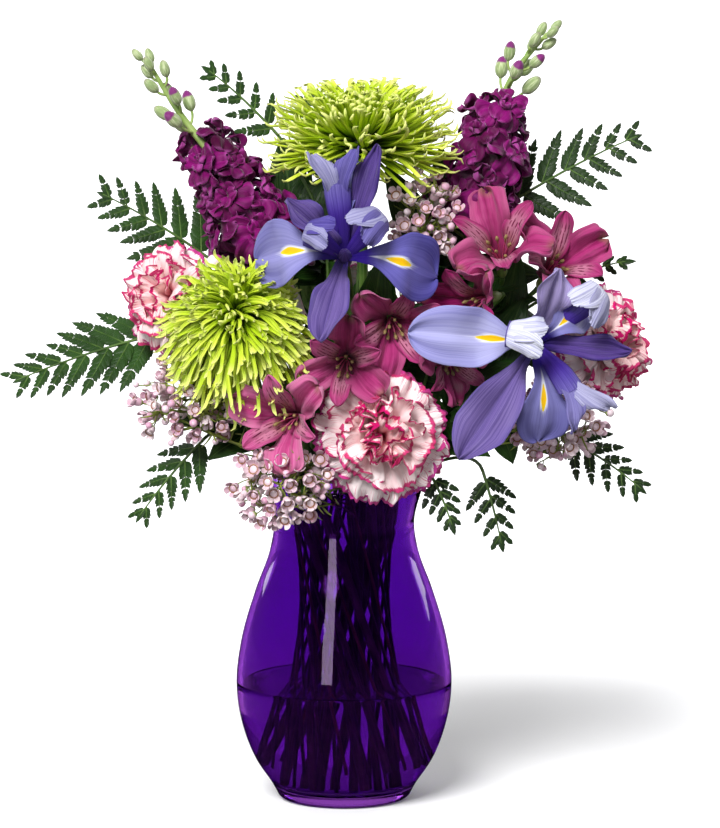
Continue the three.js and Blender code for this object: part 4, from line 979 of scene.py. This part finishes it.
def make_carnation(name, b, seed, looks):
    random = np.random.default_rng(seed)
    seat = Seat(b["at"], b["axis"])
    shape = Shape()
    size = b["size"]
    for ring, (count, tilt, length, wide) in enumerate(CARNATION_RINGS):
        first = random.uniform(0, ROUND)
        for k in range(count):
            angle = first + 2 * np.pi * (k + random.uniform(-0.18, 0.18)) / count
            lean_back = math.radians(tilt + random.uniform(-8, 8))
            reach = size * length * random.uniform(0.90, 1.03)
            bend = math.radians(random.uniform(4, 22) if ring < 4 else random.uniform(-16, 14))
            half = size * wide * random.uniform(0.88, 1.08)

            def at(share, more, width):
                a = lean_back + more
                return reach * share * math.sin(a), 7 + 0.86 * reach * share * math.cos(a), width

            spine = [(0.5, 5, 1.5), at(0.32, -0.10, 0.11 * size), at(0.62, -0.05, 0.64 * half),
                     at(0.84, 0.25 * bend, half), at(1.0, bend, 0.90 * half)]
            depth = 0.032 + 0.014 * ring
            shape.petal(seat, 0, 0.55, angle, spine, 26, 45, 0.12 - 0.03 * ring,
                        end_wave=(size * depth, random.uniform(1.6, 3.2)),
                        ruffle=(size * 0.026, random.uniform(5.0, 8.0)), phase=random.uniform(0, ROUND),
                        teeth=0.042 * size, side_wave=(size * 0.03 * (1 + 0.4 * ring), 2.0),
                        twist=random.uniform(-0.35, 0.35) * (ring / 4),
                        tone=np.clip(0.04 + 0.15 * ring + random.uniform(-0.05, 0.08), 0, 1))
    shape.piece(f"{name}_flower", f"{name}_head", "carnation", looks)


def make_mum(name, b, seed, looks):
    """A dense head of narrow straps that wander, curl and hook at their tips."""
    random = np.random.default_rng(seed)
    seat = Seat(b["at"], b["axis"])
    down = seat.turn @ vec(0, 0, -1)
    shape = Shape()
    strap, heart = range(2)
    ball = [(0.3, 0.5), (6, 1.2), (9.6, 5), (9.8, 10), (7, 15.5), (0.3, 18)]
    shape.turned(seat, ball, heart, 20, 0.2, 14)
    top = math.cos(math.radians(b["spread"]))
    rows = 19
    u = np.linspace(0, 1, rows)
    v = np.linspace(-1, 1, 5)
    rounded = np.sqrt(np.clip(1 - (np.maximum(u - 0.86, 0) / 0.142) ** 2, 0.04, 1))
    for k in range(STRAPS):
        tilt = math.acos(1 - (1 - top) * (k + 0.5) / STRAPS)
        turn = k * GOLDEN + random.uniform(-0.35, 0.35)
        tilt = max(0.02, tilt + random.normal(0, 0.07))
        out = around(turn)
        aside = vec(-math.sin(turn), math.cos(turn), 0)

        def bent(more):
            return math.sin(tilt + more) * out + math.cos(tilt + more) * vec(0, 0, 1)

        inner = max(0.0, 1 - tilt / 0.8)
        fall = 1 + b["droop"] * bent(0) @ down
        flat = 0.60 + 0.40 * math.sin(min(tilt, 1.6))
        length = fall * b["size"] * flat * random.uniform(0.70, 1.05) - 5 - 5 * inner
        curl = b["curl"] * random.uniform(0.0, 2.2)
        curl += 0.55 * b["bend"] * max(0.0, 1.5 - tilt) * random.uniform(0.4, 1.3)
        curl -= max(0.0, 1 - tilt / 0.45) * random.uniform(0.3, 1.4)
        sag = b["sag"] * random.uniform(0.4, 1.6) * (0.5 + 0.45 * tilt)
        sway = random.normal(0, b["sway"])
        ripple = random.uniform(0, ROUND)
        p = vec(0, 0, 9) + vec(8, 8, 7) * bent(0)
        path = [p]
        for t in (np.arange(10) + 0.5) / 10:
            way = unit(bent(curl * t**1.5 * 1.8) + down * sag * 2.0 * t**1.4
                       + aside * (sway * t + 0.8 * b["sway"] * math.sin(ripple + 4 * t)))
            p = p + way * length / 10
            path.append(p)
        hook = unit(np.cross(way, np.cross(bent(-0.6) + random.normal(0, 0.35, 3), way)))
        hook = hook * random.uniform(0.2, 1.0)
        for _ in range(4):
            way = unit(way + hook)
            p = p + way * 1.2
            path.append(p)
        path = line(path, rows)
        low = path[:, 2] - b["flat"]
        path[:, 2] = np.where(low > 0, b["flat"] + 0.35 * low, path[:, 2])
        run = units(np.gradient(path, axis=0))
        side = units(np.cross(run, np.cross(aside + 0.5 * random.normal() * out, run)))
        half = b["strap"] * random.uniform(0.75, 1.15) * np.clip(0.6 + 1.4 * u, 0, 1) * rounded
        half = half[:, None]
        grid = blade(path, side, np.cross(side, run), half * v, -0.75 * half * v**2)
        shape.sheet(seat.put(grid), strap, 0.5, random.uniform(0, 1), u)
    shape.piece(f"{name}_flower", f"{name}_head", "mum", looks)


def stock_floret(shape, centre, axis, size, random):
    """A double flower: broad wavy outer petals round a crumpled heart."""
    seat = Seat(centre, axis, random.uniform(0, ROUND))
    tone = random.uniform(0.1, 0.9)
    for ring, (count, reach, tilt) in enumerate([(4, 1.0, 86), (3, 0.82, 56), (3, 0.52, 26)]):
        for k in range(count):
            angle = 2 * np.pi * (k + 0.5 * ring + random.uniform(-0.16, 0.16)) / count
            a = math.radians(tilt + random.uniform(-20, 18))
            length = size * reach * random.uniform(0.88, 1.1)
            half = length * (0.62 if ring else 0.56)

            def at(share, more, width):
                return length * share * math.sin(a + more), 1 + length * share * math.cos(a + more), width

            spine = [(0.2, -2, 0.8), at(0.35, -0.15, 0.5 * half), at(0.72, 0.05, half),
                     at(1.0, random.uniform(0.1, 0.6), 0)]
            shape.petal(seat, 0, 0.6, angle, spine, 16, 15, 0.14, 2.8,
                        end_wave=(0.11 * size, random.uniform(1.4, 3)), side_wave=(0.10 * size, 3),
                        phase=random.uniform(0, ROUND), notch=0.07 * size,
                        twist=random.uniform(-0.4, 0.4), tone=near(random, tone, 0.3))
    shape.turned(seat, [(1.2, -6), (1.9, -3), (1.6, 1), (0.3, 3)], 1, 8, 0.5, 6)


def spot_on(path, t):
    """The point at a share of a path, and the way that the path runs there."""
    last = len(path) - 1
    k = round(t * last)
    return path[k], unit(path[min(k + 1, last)] - path[max(k - 1, 0)])


def make_stock(name, b, seed, looks):
    random = np.random.default_rng(seed)
    path = line(b["path"], 21)
    shape = Shape()
    shape.tube(path, np.linspace(2.9, 2.5, 21), 1, 12)
    for k in range(STOCK_FLORETS):
        t = (k + 0.35) / STOCK_FLORETS
        at, run = spot_on(path, t)
        out = Seat(at, run).way(around(k * GOLDEN + seed))
        axis = unit(out + run * (0.20 + 0.6 * t + random.uniform(-0.15, 0.25)))
        centre = at + axis * (18.5 - 7 * t + random.uniform(-2.5, 2.5))
        shape.tube(line([at, at + axis * 6, centre - axis * 4], 5), 0.9, 1, 7)
        stock_floret(shape, centre, axis, (20.5 - 6.5 * t) * random.uniform(0.88, 1.08), random)
    shape.piece(f"{name}_flowers", f"{name}_florets", "stock", looks[:2])
    tip = Shape()
    stem = line([b["path"][2], *b["tip"]], 15)
    tip.tube(stem, np.linspace(2.4, 1.0, 15), 0, 12)
    for k in range(STOCK_BUDS):
        t = 0.14 + 0.86 * k / (STOCK_BUDS - 1)
        at, run = spot_on(stem, t)
        out = Seat(at, run).way(around(k * GOLDEN + 1.2 * seed))
        length = 14.5 - 6.0 * t
        reach = (10.0 - 7.5 * t) * random.uniform(0.8, 1.1)
        end = at + out * reach + run * reach * 0.9
        way = unit(out * (0.5 - 0.3 * t) + run)
        tip.tube(stalk_between(at, unit(out + 0.5 * run), end, way, 7), 0.8, 0, 7)
        bud = np.array([(0, 0), (0.22, 0.16), (0.29, 0.45), (0.25, 0.72), (0.14, 0.93), (0.03, 1)]) * length
        bud[0, 0] = 0.6
        tip.turned(Seat(end, way), bud, 1, 14, 1.0 - t if k % 3 else 0.2, 12)
    tip.piece(f"{name}_buds", f"{name}_tip", "stem", looks[1:])


def make_alstroemeria_bloom(name, node, place, seed, looks):
    random = np.random.default_rng(seed)
    x, y, z, bearing, rise, size, tone = place
    s = size / 44
    seat = Seat((x, y, z), facing(bearing, rise))
    start = seeded_start(seed)
    shape = Shape()
    outer, inner, anther, green = range(4)
    shape.turned(seat, [(1.4, -7.0), (2.8, -4), (3.2, -1), (2.4, 3), (0.3, 5)], green, 12, 0.4, 9)
    broad = [(5, 11, 4.4), (12, 23, 8.8), (20, 31.5, 12.2), (27, 35, 11.4), (33, 35.5, 0)]
    broad = [(0.8, 0, 1.4), *s * np.array(broad)]
    slim = [(0.6, 0.5, 1.2), *s * np.array([(5, 13, 3.2), (13, 30, 7.2), (20, 37.5, 6.6), (27, 41, 0)])]
    for k in range(3):
        angle = start + 2 * np.pi * k / 3
        shape.petal(seat, outer, 0.7, angle, broad, 32, 23, 0.30, 2.3, side_wave=(3.2, 4.2),
                    phase=random.uniform(0, ROUND), notch=1.6, fold=0.13, end_wave=(2.6, 2.3),
                    twist=random.uniform(-0.6, 0.6), ruffle=(1.0, 5), tone=near(random, tone, 0.2))
        shape.petal(seat, inner, 0.7, angle + np.pi / 3, slim, 32, 19, 0.14, 1.5, side_wave=(1.7, 3.6),
                    phase=random.uniform(0, ROUND), fold=0.14, twist=random.uniform(-0.4, 0.4),
                    end_wave=(0.8, 2), tone=near(random, tone, 0.1))
    for k in range(7):
        out = around(start + k * 0.9)
        reach, high = random.uniform(4, 8) * s, random.uniform(24, 33) * s
        path = line([0.6 * out + vec(0, 0, 3), 0.45 * reach * out + vec(0, 0, 0.55 * high),
                     reach * out + vec(0, -2.5, high)], 12)
        shape.tube(seat.put(path), [*[0.42] * 9, 0.5, 1.15, 0.6], anther, 7)
    shape.piece(name, node, "alstroemeria", looks)


def seeded_start(seed):
    """The first petal's angle, from the same short rule as the solid's."""
    state = (seed * 2654435761 + 0x6D2B79F5) % 2**32
    t = (state ^ (state >> 15)) * (state | 1) % 2**32
    t ^= (t + (t ^ (t >> 7)) * (t | 61)) % 2**32
    return 0.5 + 2 * ((t ^ (t >> 14)) / 2**32)


# ---------------------------------------------------------------- leaves, stems and sprays

def leaf_grid(start, end, width, lift, rows=26, columns=11, twist=0.0):
    path = bowed(start, (start + end) / 2 + vec(0, 0, lift), end, rows)
    run = units(np.gradient(path, axis=0))
    across = units(np.cross(run, vec(0.2, -0.6, 0.7)))
    t = np.linspace(0, 1, rows)[:, None]
    half = np.maximum(0.5 * width * np.sin(np.pi * np.clip(t, 0, 0.995) ** 0.8), 0.5)
    v = np.linspace(-1, 1, columns)
    bend = 0.22 * half * v**2 + 0.6 * np.sin(t * 9 + v * 2) * np.abs(v) + twist * t * v * half
    return blade(path, across, np.cross(across, run), half * v, -bend)


def make_stem(name, radius, looks, end, calyx=None):
    """A cut stem along the middle line of its solid; the calyx is the seat of a toothed cup at its end."""
    path = follow(f"{name}_stem")
    keep = np.linalg.norm(path - end, axis=1) > 7
    keep[: len(path) // 2] = True
    path = np.vstack([path[keep], end])
    shape = Shape()
    count = 4 * len(path)
    bump = 0.10 * radius * np.sin(np.linspace(0, 7, count) * 2.3)
    shape.tube(line(path, count), radius + bump, 0, 14)
    if calyx:
        cup = [(2.3, -23), (4.1, -20), (5.0, -14), (5.6, -8), (6.6, -3), (7.4, 0.2), (5.0, 1.2), (0.4, 1.0)]
        shape.turned(calyx, cup, 1, 20, 0.5, 18)
        tooth = [(6.6, -4, 3.2), (7.6, 0.5, 2.6), (8.6, 4.5, 0)]
        for k in range(5):
            shape.petal(calyx, 1, 0.8, 2 * np.pi * k / 5, tooth, 8, 7, 0.1, 1.3)
    shape.piece(f"{name}_stalk", f"{name}_stem", "stem", looks)


def make_sprig(name, b, seed, looks):
    """Broad leaves, and smaller ones between them, on a slender stalk."""
    random = np.random.default_rng(seed)
    end, axis = vec(*b["at"]), b["axis"]
    path = follow(name)
    path = clear_part(path, (np.linalg.norm(path - end, axis=1) > 46) & (path[:, 2] < end[2] - 12))
    stalk = grown(path, end, axis, 16, 90)
    shape = Shape()
    leaf, green = range(2)
    shape.tube(stalk, np.linspace(1.2, 0.8, 90), green, 9)
    back = np.linalg.norm(stalk - end, axis=1)

    def on_stalk(distance):
        return stalk[np.argmin(abs(back - distance))]

    def broad(start, tip, width, columns):
        run = tip - start
        across = unit(np.cross(run, vec(0.1, -0.8, 0.5)))
        t = np.linspace(0, 1, 2 * columns + 4)[:, None]
        half = 0.47 * width * np.maximum(np.sin(np.pi * np.clip(t, 0, 0.995) ** 0.86), 0.04) ** 0.85
        v = np.linspace(-1, 1, columns)
        wave = 0.8 * np.sin(t * 13 + 2 * np.sign(v)) * np.abs(v) ** 2
        arch = 18 * t * (1 - t) + 0.16 * half * np.abs(v) ** 1.3 + wave
        grid = blade(start + run * t, across, unit(np.cross(across, run)), half * v, arch)
        shape.sheet(grid, leaf, 0.8, random.uniform(0, 1))

    for k, (x, y, z, width) in enumerate(b["leaves"]):
        broad(on_stalk(2 * (21 - 21 * (k + 0.4) / len(b["leaves"]))), vec(x, y, z), width, 15)
    for start, tip, width in b.get("more", []):
        broad(vec(*start), vec(*tip), width, 15)
    for k in range(SMALL_LEAVES):
        start = on_stalk(3 + 4.5 * k)
        way = Seat(start, axis).way(unit(around(k * GOLDEN + seed, random.uniform(0.3, 1.0))))
        broad(start, start + way * random.uniform(24, 38), random.uniform(14, 20), 11)
    shape.piece(f"{name}_leaves", name, "greenery", looks)


def make_alstroemeria_stem(name, b, seed, looks):
    random = np.random.default_rng(seed)
    ends = []
    for x, y, z, bearing, rise, *_ in b["blooms"]:
        axis = facing(bearing, rise)
        ends.append((vec(x, y, z) - axis * ALSTROEMERIA_NECK, axis))
    middle = sum(end for end, _ in ends) / len(ends)
    fork = middle * vec(0.62, 0.62, 1) + vec(0, 0, -34)
    rise = unit(middle - fork)
    path = follow(f"{name}_stem")
    path = path[path[:, 2] < fork[2] - 6]
    shape = Shape()
    green, leaf = range(2)
    shape.tube(line(np.vstack([path, fork]), 4 * len(path)), 2.1, green, 12)
    stalks = []
    for at, axis in ends:
        stalks.append(stalk_between(fork - rise, rise, at, axis, 16))
        shape.tube(stalks[-1], [*[1.25] * 13, 1.4, 1.5, 1.6], green, 9)
    for x, y, z, width in b["leaves"]:
        shape.sheet(leaf_grid(fork - rise * 4, vec(x, y, z), width, 16), leaf, 0.9, 0.5)
    for k in range(9):
        start = stalks[k % len(stalks)][random.integers(2, 14)]
        way = Seat(start, rise).way(unit(around(k * GOLDEN + seed, random.uniform(0.2, 1.1))))
        grid = leaf_grid(start, start + way * random.uniform(24, 38), random.uniform(9, 14), 5, 18, 9, 0.3)
        shape.sheet(grid, leaf, 0.8, random.uniform(0, 1))
    shape.piece(f"{name}_stalk", f"{name}_stem", "stem", looks)


def waxflower(shape, centre, axis, r, random):
    """A small waxy cup with five round petals about a dark glossy heart."""
    seat = Seat(centre, axis, random.uniform(0, ROUND))
    tone = random.uniform(0, 1)
    petals, dark, cup = 0, 1, 3
    wall = r * np.array([(0.34, -1.1), (0.52, -0.7), (0.60, -0.25), (0.62, 0.05)])
    shape.turned(seat, [(0.5, -1.25 * r), *wall], cup, 10, tone, 8)
    heart = r * np.array([(0.25, -0.1), (0.45, 0.05), (0.58, 0.16), (0.62, 0.02)])
    heart = line([(0.02, -0.05 * r), *heart], 9)
    middle = heart[0][1]
    ends = np.array([[0, 0, middle - 0.3 * r], [0, 0, middle]])
    shape.closed(seat.put(hoops(heart[::-1], 12)), seat.put(ends), dark, tone, 1, 0)
    wide = random.uniform(0.05, 0.85)
    spine = r * np.array([
        (0.52, -0.15, 0.28), (0.80, 0.12, 0.44), (0.82 + 0.22 * wide, 0.56 - 0.22 * wide, 0.42),
        (0.72 + 0.42 * wide, 0.90 - 0.35 * wide, 0),
    ])
    for k in range(5):
        a = 2 * np.pi * (k + random.uniform(-0.08, 0.08)) / 5
        shape.petal(seat, petals, 0.55, a, spine, 8, 7, 0.28, 2.6, phase=random.uniform(0, ROUND),
                    side_wave=(0.05 * r, 2), tone=near(random, tone, 0.2))


def make_spray(name, b, seed, looks):
    """Waxflowers and round buds on fine twigs, with needle leaves."""
    random = np.random.default_rng(seed)
    at, axis, size = vec(*b["at"]), b["axis"], vec(*b["size"])
    end = at + axis * 0.4 * size[0]
    path = follow(name)
    below = path[:, 2] < max(200, end[2] - 20)
    path = clear_part(path, below & (np.linalg.norm(path - end, axis=1) > 34))
    stalk = grown(path, end, axis, 14, 80)
    shape = Shape()
    green, pod = 2, 3
    shape.tube(stalk, np.linspace(1.0, 0.7, 80), green, 8)
    twigs = []
    for k in range(TWIGS):
        reach = unit(random.normal(0, 1, 3) + 0.4 * axis) * 0.62
        goal = at + size * reach + axis * 0.25 * size[0]
        start = stalk[54 + 2 * k]
        twig = line([start, (start + goal) / 2 + random.uniform(-3, 3, 3), goal], 9)
        shape.tube(twig, 0.5, green, 6)
        twigs.extend(twig[2:])
    twigs = np.array([*twigs, *stalk[62:]])
    ball = np.array([(0.3, -1.2), (0.75, -0.8), (1.0, 0.0), (0.85, 0.65), (0.45, 0.95), (0.05, 1.05)])
    front = vec(0, b.get("front", -0.7), 0.3)
    heads = []
    for _ in range(TRIES):
        bud = len(heads) >= b["count"]
        if len(heads) >= b["count"] + SPRAY_BUDS:
            break
        out = unit(random.normal(0, 1, 3))
        offset = out * size * random.uniform(0.55, 1.08 if bud else 1.0)
        centre = at + offset + axis * 0.3 * size[0]
        radius = random.uniform(1.7, 2.5) if bud else random.uniform(3.9, 5.1)
        if centre[2] > b.get("top", 999):
            continue
        if any(np.linalg.norm(centre - c) < 0.95 * (radius + r) for c, r in heads):
            continue
        heads.append((centre, radius))
        out = unit(offset)
        look = unit(out + axis * 0.6 + front + random.uniform(-0.7, 0.7, 3))
        start = twigs[np.argmin(np.linalg.norm(twigs - centre + out * 4, axis=1))]
        back = centre - look * radius * 1.2
        shape.tube(stalk_between(start, unit(out + 0.3 * look), back, look, 6), 0.38, green, 5)
        if bud:
            shape.turned(Seat(centre, look), ball * radius, pod, 12, random.uniform(0, 1), 11)
        else:
            waxflower(shape, centre, look, radius, random)
    for _ in range(NEEDLES):
        start = twigs[random.integers(len(twigs))]
        way = unit(random.uniform(-1, 1, 3) + axis * 0.4 + vec(0, 0, 0.3))
        needle = line([start, start + way * 6, start + way * random.uniform(9, 14) + vec(0, 0, 1.5)], 6)
        shape.tube(needle, [0.4, 0.6, 0.6, 0.5, 0.4, 0.15], green, 5)
    shape.piece(f"{name}_spray", name, "waxflower", looks)


def lobe(shape, start, way, normal, length, half, tone):
    """One small toothed leaflet of a frond."""
    t = np.linspace(0, 1, 12)[:, None]
    v = np.linspace(-1, 1, 7)
    width = half * np.maximum(np.sin(np.pi * np.clip(t, 0.03, 0.975) ** 0.72), 0.10) ** 0.75
    width = width * (1 + 0.09 * np.sin(t * 26))
    path = start + way * (length * t) - normal * (0.08 * length * t**2)
    grid = blade(path, unit(np.cross(normal, way)), normal, width * v, -0.14 * width * np.abs(v) ** 1.4)
    shape.sheet(grid, 0, 0.5, tone)


def make_frond(name, b, seed, looks):
    """A leathery frond: toothed leaflets in pairs on side ribs of one arching midrib."""
    random = np.random.default_rng(seed)
    start, end, face, half, pairs = b
    start, end = vec(*start), vec(*end)
    curve = bowed(start, start + 0.55 * (end - start) + vec(0, 0, 4), end, 60)
    path = follow(name)
    close = np.linalg.norm(path - start, axis=1) < 12
    path = path[: np.argmax(close)] if close.any() else path[: max(6, len(path) - 6)]
    below = path[:, 2] < start[2] - 6
    path = path[below] if below.sum() > 5 else path[:6]
    shape = Shape()
    shape.tube(grown(path, start, unit(curve[1] - curve[0]), 14, 70), 1.0, 1, 8)
    shape.tube(line(curve, 30), np.linspace(1.0, 0.35, 30), 1, 7)
    for k in range(2 * pairs):
        hand = -1 if k % 2 else 1
        t = (k // 2 + 0.5 + 0.22 * (k % 2)) / pairs
        i = int(t * 58)
        at, run = curve[i], unit(curve[i + 1] - curve[i])
        across = unit(np.cross(face, run))
        normal = unit(np.cross(run, across))
        out = unit(across * hand + run * ((0.75 if hand > 0 else 0.5) + 0.3 * t) + vec(0, 0, -0.12))
        length = 1.15 * half * (1 - 0.72 * t) * random.uniform(0.92, 1.06)
        bow = run * 0.14 * length - normal * 0.10 * length
        rib = line([at, at + out * length * 0.5 + bow * 0.4, at + out * length + bow], 24)
        shape.tube(rib, np.linspace(0.6, 0.2, 24), 1, 5)
        count = max(4, round(length / 3.3))
        for j in range(count):
            s = (j + 0.6) / (count + 0.4)
            m = int(s * 22)
            rib_way = unit(rib[m + 1] - rib[m])
            beside = unit(np.cross(normal, rib_way))
            size = (0.24 * length + 2.6) * (1 - 0.62 * s) * (1 if j else 0.8)
            for side in (1, -1):
                way = unit(beside * side + rib_way * 1.1 + random.uniform(-0.06, 0.06, 3))
                tilted = unit(normal + random.uniform(-0.12, 0.12, 3))
                lobe(shape, rib[m], way, tilted, size, 0.24 * size + 0.45, random.uniform(0, 1))
        lobe(shape, rib[20], unit(rib[-1] - rib[-3]), normal, 0.16 * length + 3, 1.6, 0.5)
    way = unit(curve[-1] - curve[-3])
    lobe(shape, curve[54], way, unit(np.cross(way, np.cross(face, way))), 9, 2.0, 0.5)
    shape.piece(f"{name}_frond", name, "fern", looks)


# ---------------------------------------------------------------- making the bunch

def make_everything():
    stem = finish("cut_stem", cut_stem, "3f6a22", "6c9440", Roughness=0.42)
    pale_stem = finish("pale_stem", cut_stem, "7f9f4a", "a9c070", Roughness=0.42)
    twig = finish("waxflower_twig", cut_stem, "6b7a2c", "8f9a3c", Roughness=0.42)
    fern_rib = finish("fern_rib", cut_stem, "33501c", "4f7030", Roughness=0.42)
    waxy = dict(Roughness=0.42, Specular_IOR_Level=0.35, Coat_Weight=0.06)
    # Nearly black green: partly the leaves' own deep colour, partly painted shade, as they fill the dark
    # gaps in the bunch.
    leaf = finish("broad_leaf", long_leaf, "0c2408", "2c5a1c", 0.16, **waxy)
    sepal = finish("sepal", long_leaf, "4e7a30", "7ba04e", **waxy)
    leathery = dict(Roughness=0.35, Specular_IOR_Level=0.4, Coat_Weight=0.15, Coat_Roughness=0.3)
    # A darker copy of the fern's finish, as painted shade for the fronds in shadow.
    shaded_fern = finish("fern_leaflet_shaded", fern_leaflet, "071204", "1a3410", **leathery)
    fern_light = finish("fern_leaflet", fern_leaflet, "10290a", "2c5614", **leathery)
    silky = dict(Roughness=0.5, Specular_IOR_Level=0.3)
    iris = [finish("iris_fall", iris_fall, Sheen_Weight=0.12, Sheen_Roughness=0.4, **silky),
            finish("iris_standard", iris_standard, Sheen_Weight=0.15, Sheen_Roughness=0.35, **silky),
            finish("iris_style", iris_style, **silky), stem]
    carnation = [finish("carnation_petal", carnation_petal, Roughness=0.6, Specular_IOR_Level=0.25,
                        Sheen_Weight=0.1)]
    mum = [finish("mum_petal", mum_petal, Roughness=0.45, Specular_IOR_Level=0.35),
           finish("mum_heart", long_leaf, "4c7408", "7aa812", **waxy)]
    stock = [finish("stock_petal", stock_petal, Sheen_Weight=0.2, Sheen_Roughness=0.35, **silky), pale_stem,
             finish("stock_bud", stock_bud, Roughness=0.5, Sheen_Weight=0.4)]
    glossy = dict(Roughness=0.45, Specular_IOR_Level=0.35, Sheen_Weight=0.12)
    alstroemeria = [finish("alstroemeria_outer", alstroemeria_petal, False, **glossy),
                    finish("alstroemeria_inner", alstroemeria_petal, True, **glossy),
                    finish("anther", anther, Roughness=0.6), pale_stem]
    wax = [finish("waxflower_petal", waxflower_petal, Roughness=0.4, Specular_IOR_Level=0.4,
                  Coat_Weight=0.08, Coat_Roughness=0.3),
           finish("waxflower_heart", waxflower_heart, Roughness=0.35, Coat_Weight=0.2), twig,
           finish("waxflower_bud", waxflower_bud, Roughness=0.25, Coat_Weight=0.3)]

    make_vase()
    make_water()
    for name, b in IRISES.items():
        make_iris(name, b, iris)
        make_stem(name, 2.7, [stem], b["at"] - b["axis"] * IRIS_NECK)
    for k, (name, b) in enumerate(MUMS.items()):
        make_mum(name, b, SEEDS["mum"] + k, mum)
        make_stem(name, 2.6, [stem], b["at"] - b["axis"] * MUM_NECK)
    for k, (name, b) in enumerate(CARNATIONS.items()):
        make_carnation(name, b, SEEDS["carnation"] + k, carnation)
        calyx = Seat(b["at"] - b["axis"] * CALYX_NECK, b["axis"])
        make_stem(name, 2.1, [stem, sepal], b["at"] - b["axis"] * CARNATION_NECK, calyx)
    for k, (name, b) in enumerate(STOCKS.items()):
        make_stock(name, b, SEEDS["stock"] + k, stock)
        make_stem(name, 2.7, [stem], vec(*b["path"][0]))
    for i, (name, b) in enumerate(ALSTROEMERIAS.items()):
        make_alstroemeria_stem(name, b, SEEDS["alstroemeria"] + i, [stem, leaf])
        for k, place in enumerate(b["blooms"]):
            seed = SEEDS["bloom"] + 7 * i + k
            node = f"{name}_bloom_{k + 1}"
            make_alstroemeria_bloom(f"{name}_flower_{k + 1}", node, place, seed, alstroemeria)
    for k, (name, b) in enumerate(SPRAYS.items()):
        make_spray(name, b, SEEDS["spray"] + k, wax)
    for k, (name, b) in enumerate(FRONDS.items()):
        fern = shaded_fern if name in SHADED_FRONDS else fern_light
        make_frond(name, b, SEEDS["frond"] + k, [fern, fern_rib])
    for k, (name, b) in enumerate(SPRIGS.items()):
        make_sprig(name, b, SEEDS["sprig"] + k, [leaf, stem])


bpy.context.scene.view_settings.view_transform = "Standard"
add_camera()
light_the_room()
add_lamp("key", "SUN", bearing=-21, rise=41, distance=3.0, energy=4.1, angle=math.radians(27))
add_lamp("window", "AREA", bearing=-18, rise=20, distance=1.7, energy=19, shape="RECTANGLE", size=0.36,
         size_y=1.5)
for side, bearing in (("right_panel", 128), ("left_panel", -136)):
    add_lamp(side, "AREA", bearing, rise=24, distance=1.6, energy=6, shape="RECTANGLE", size=0.4,
             size_y=1.3)
make_everything()
make_floor()
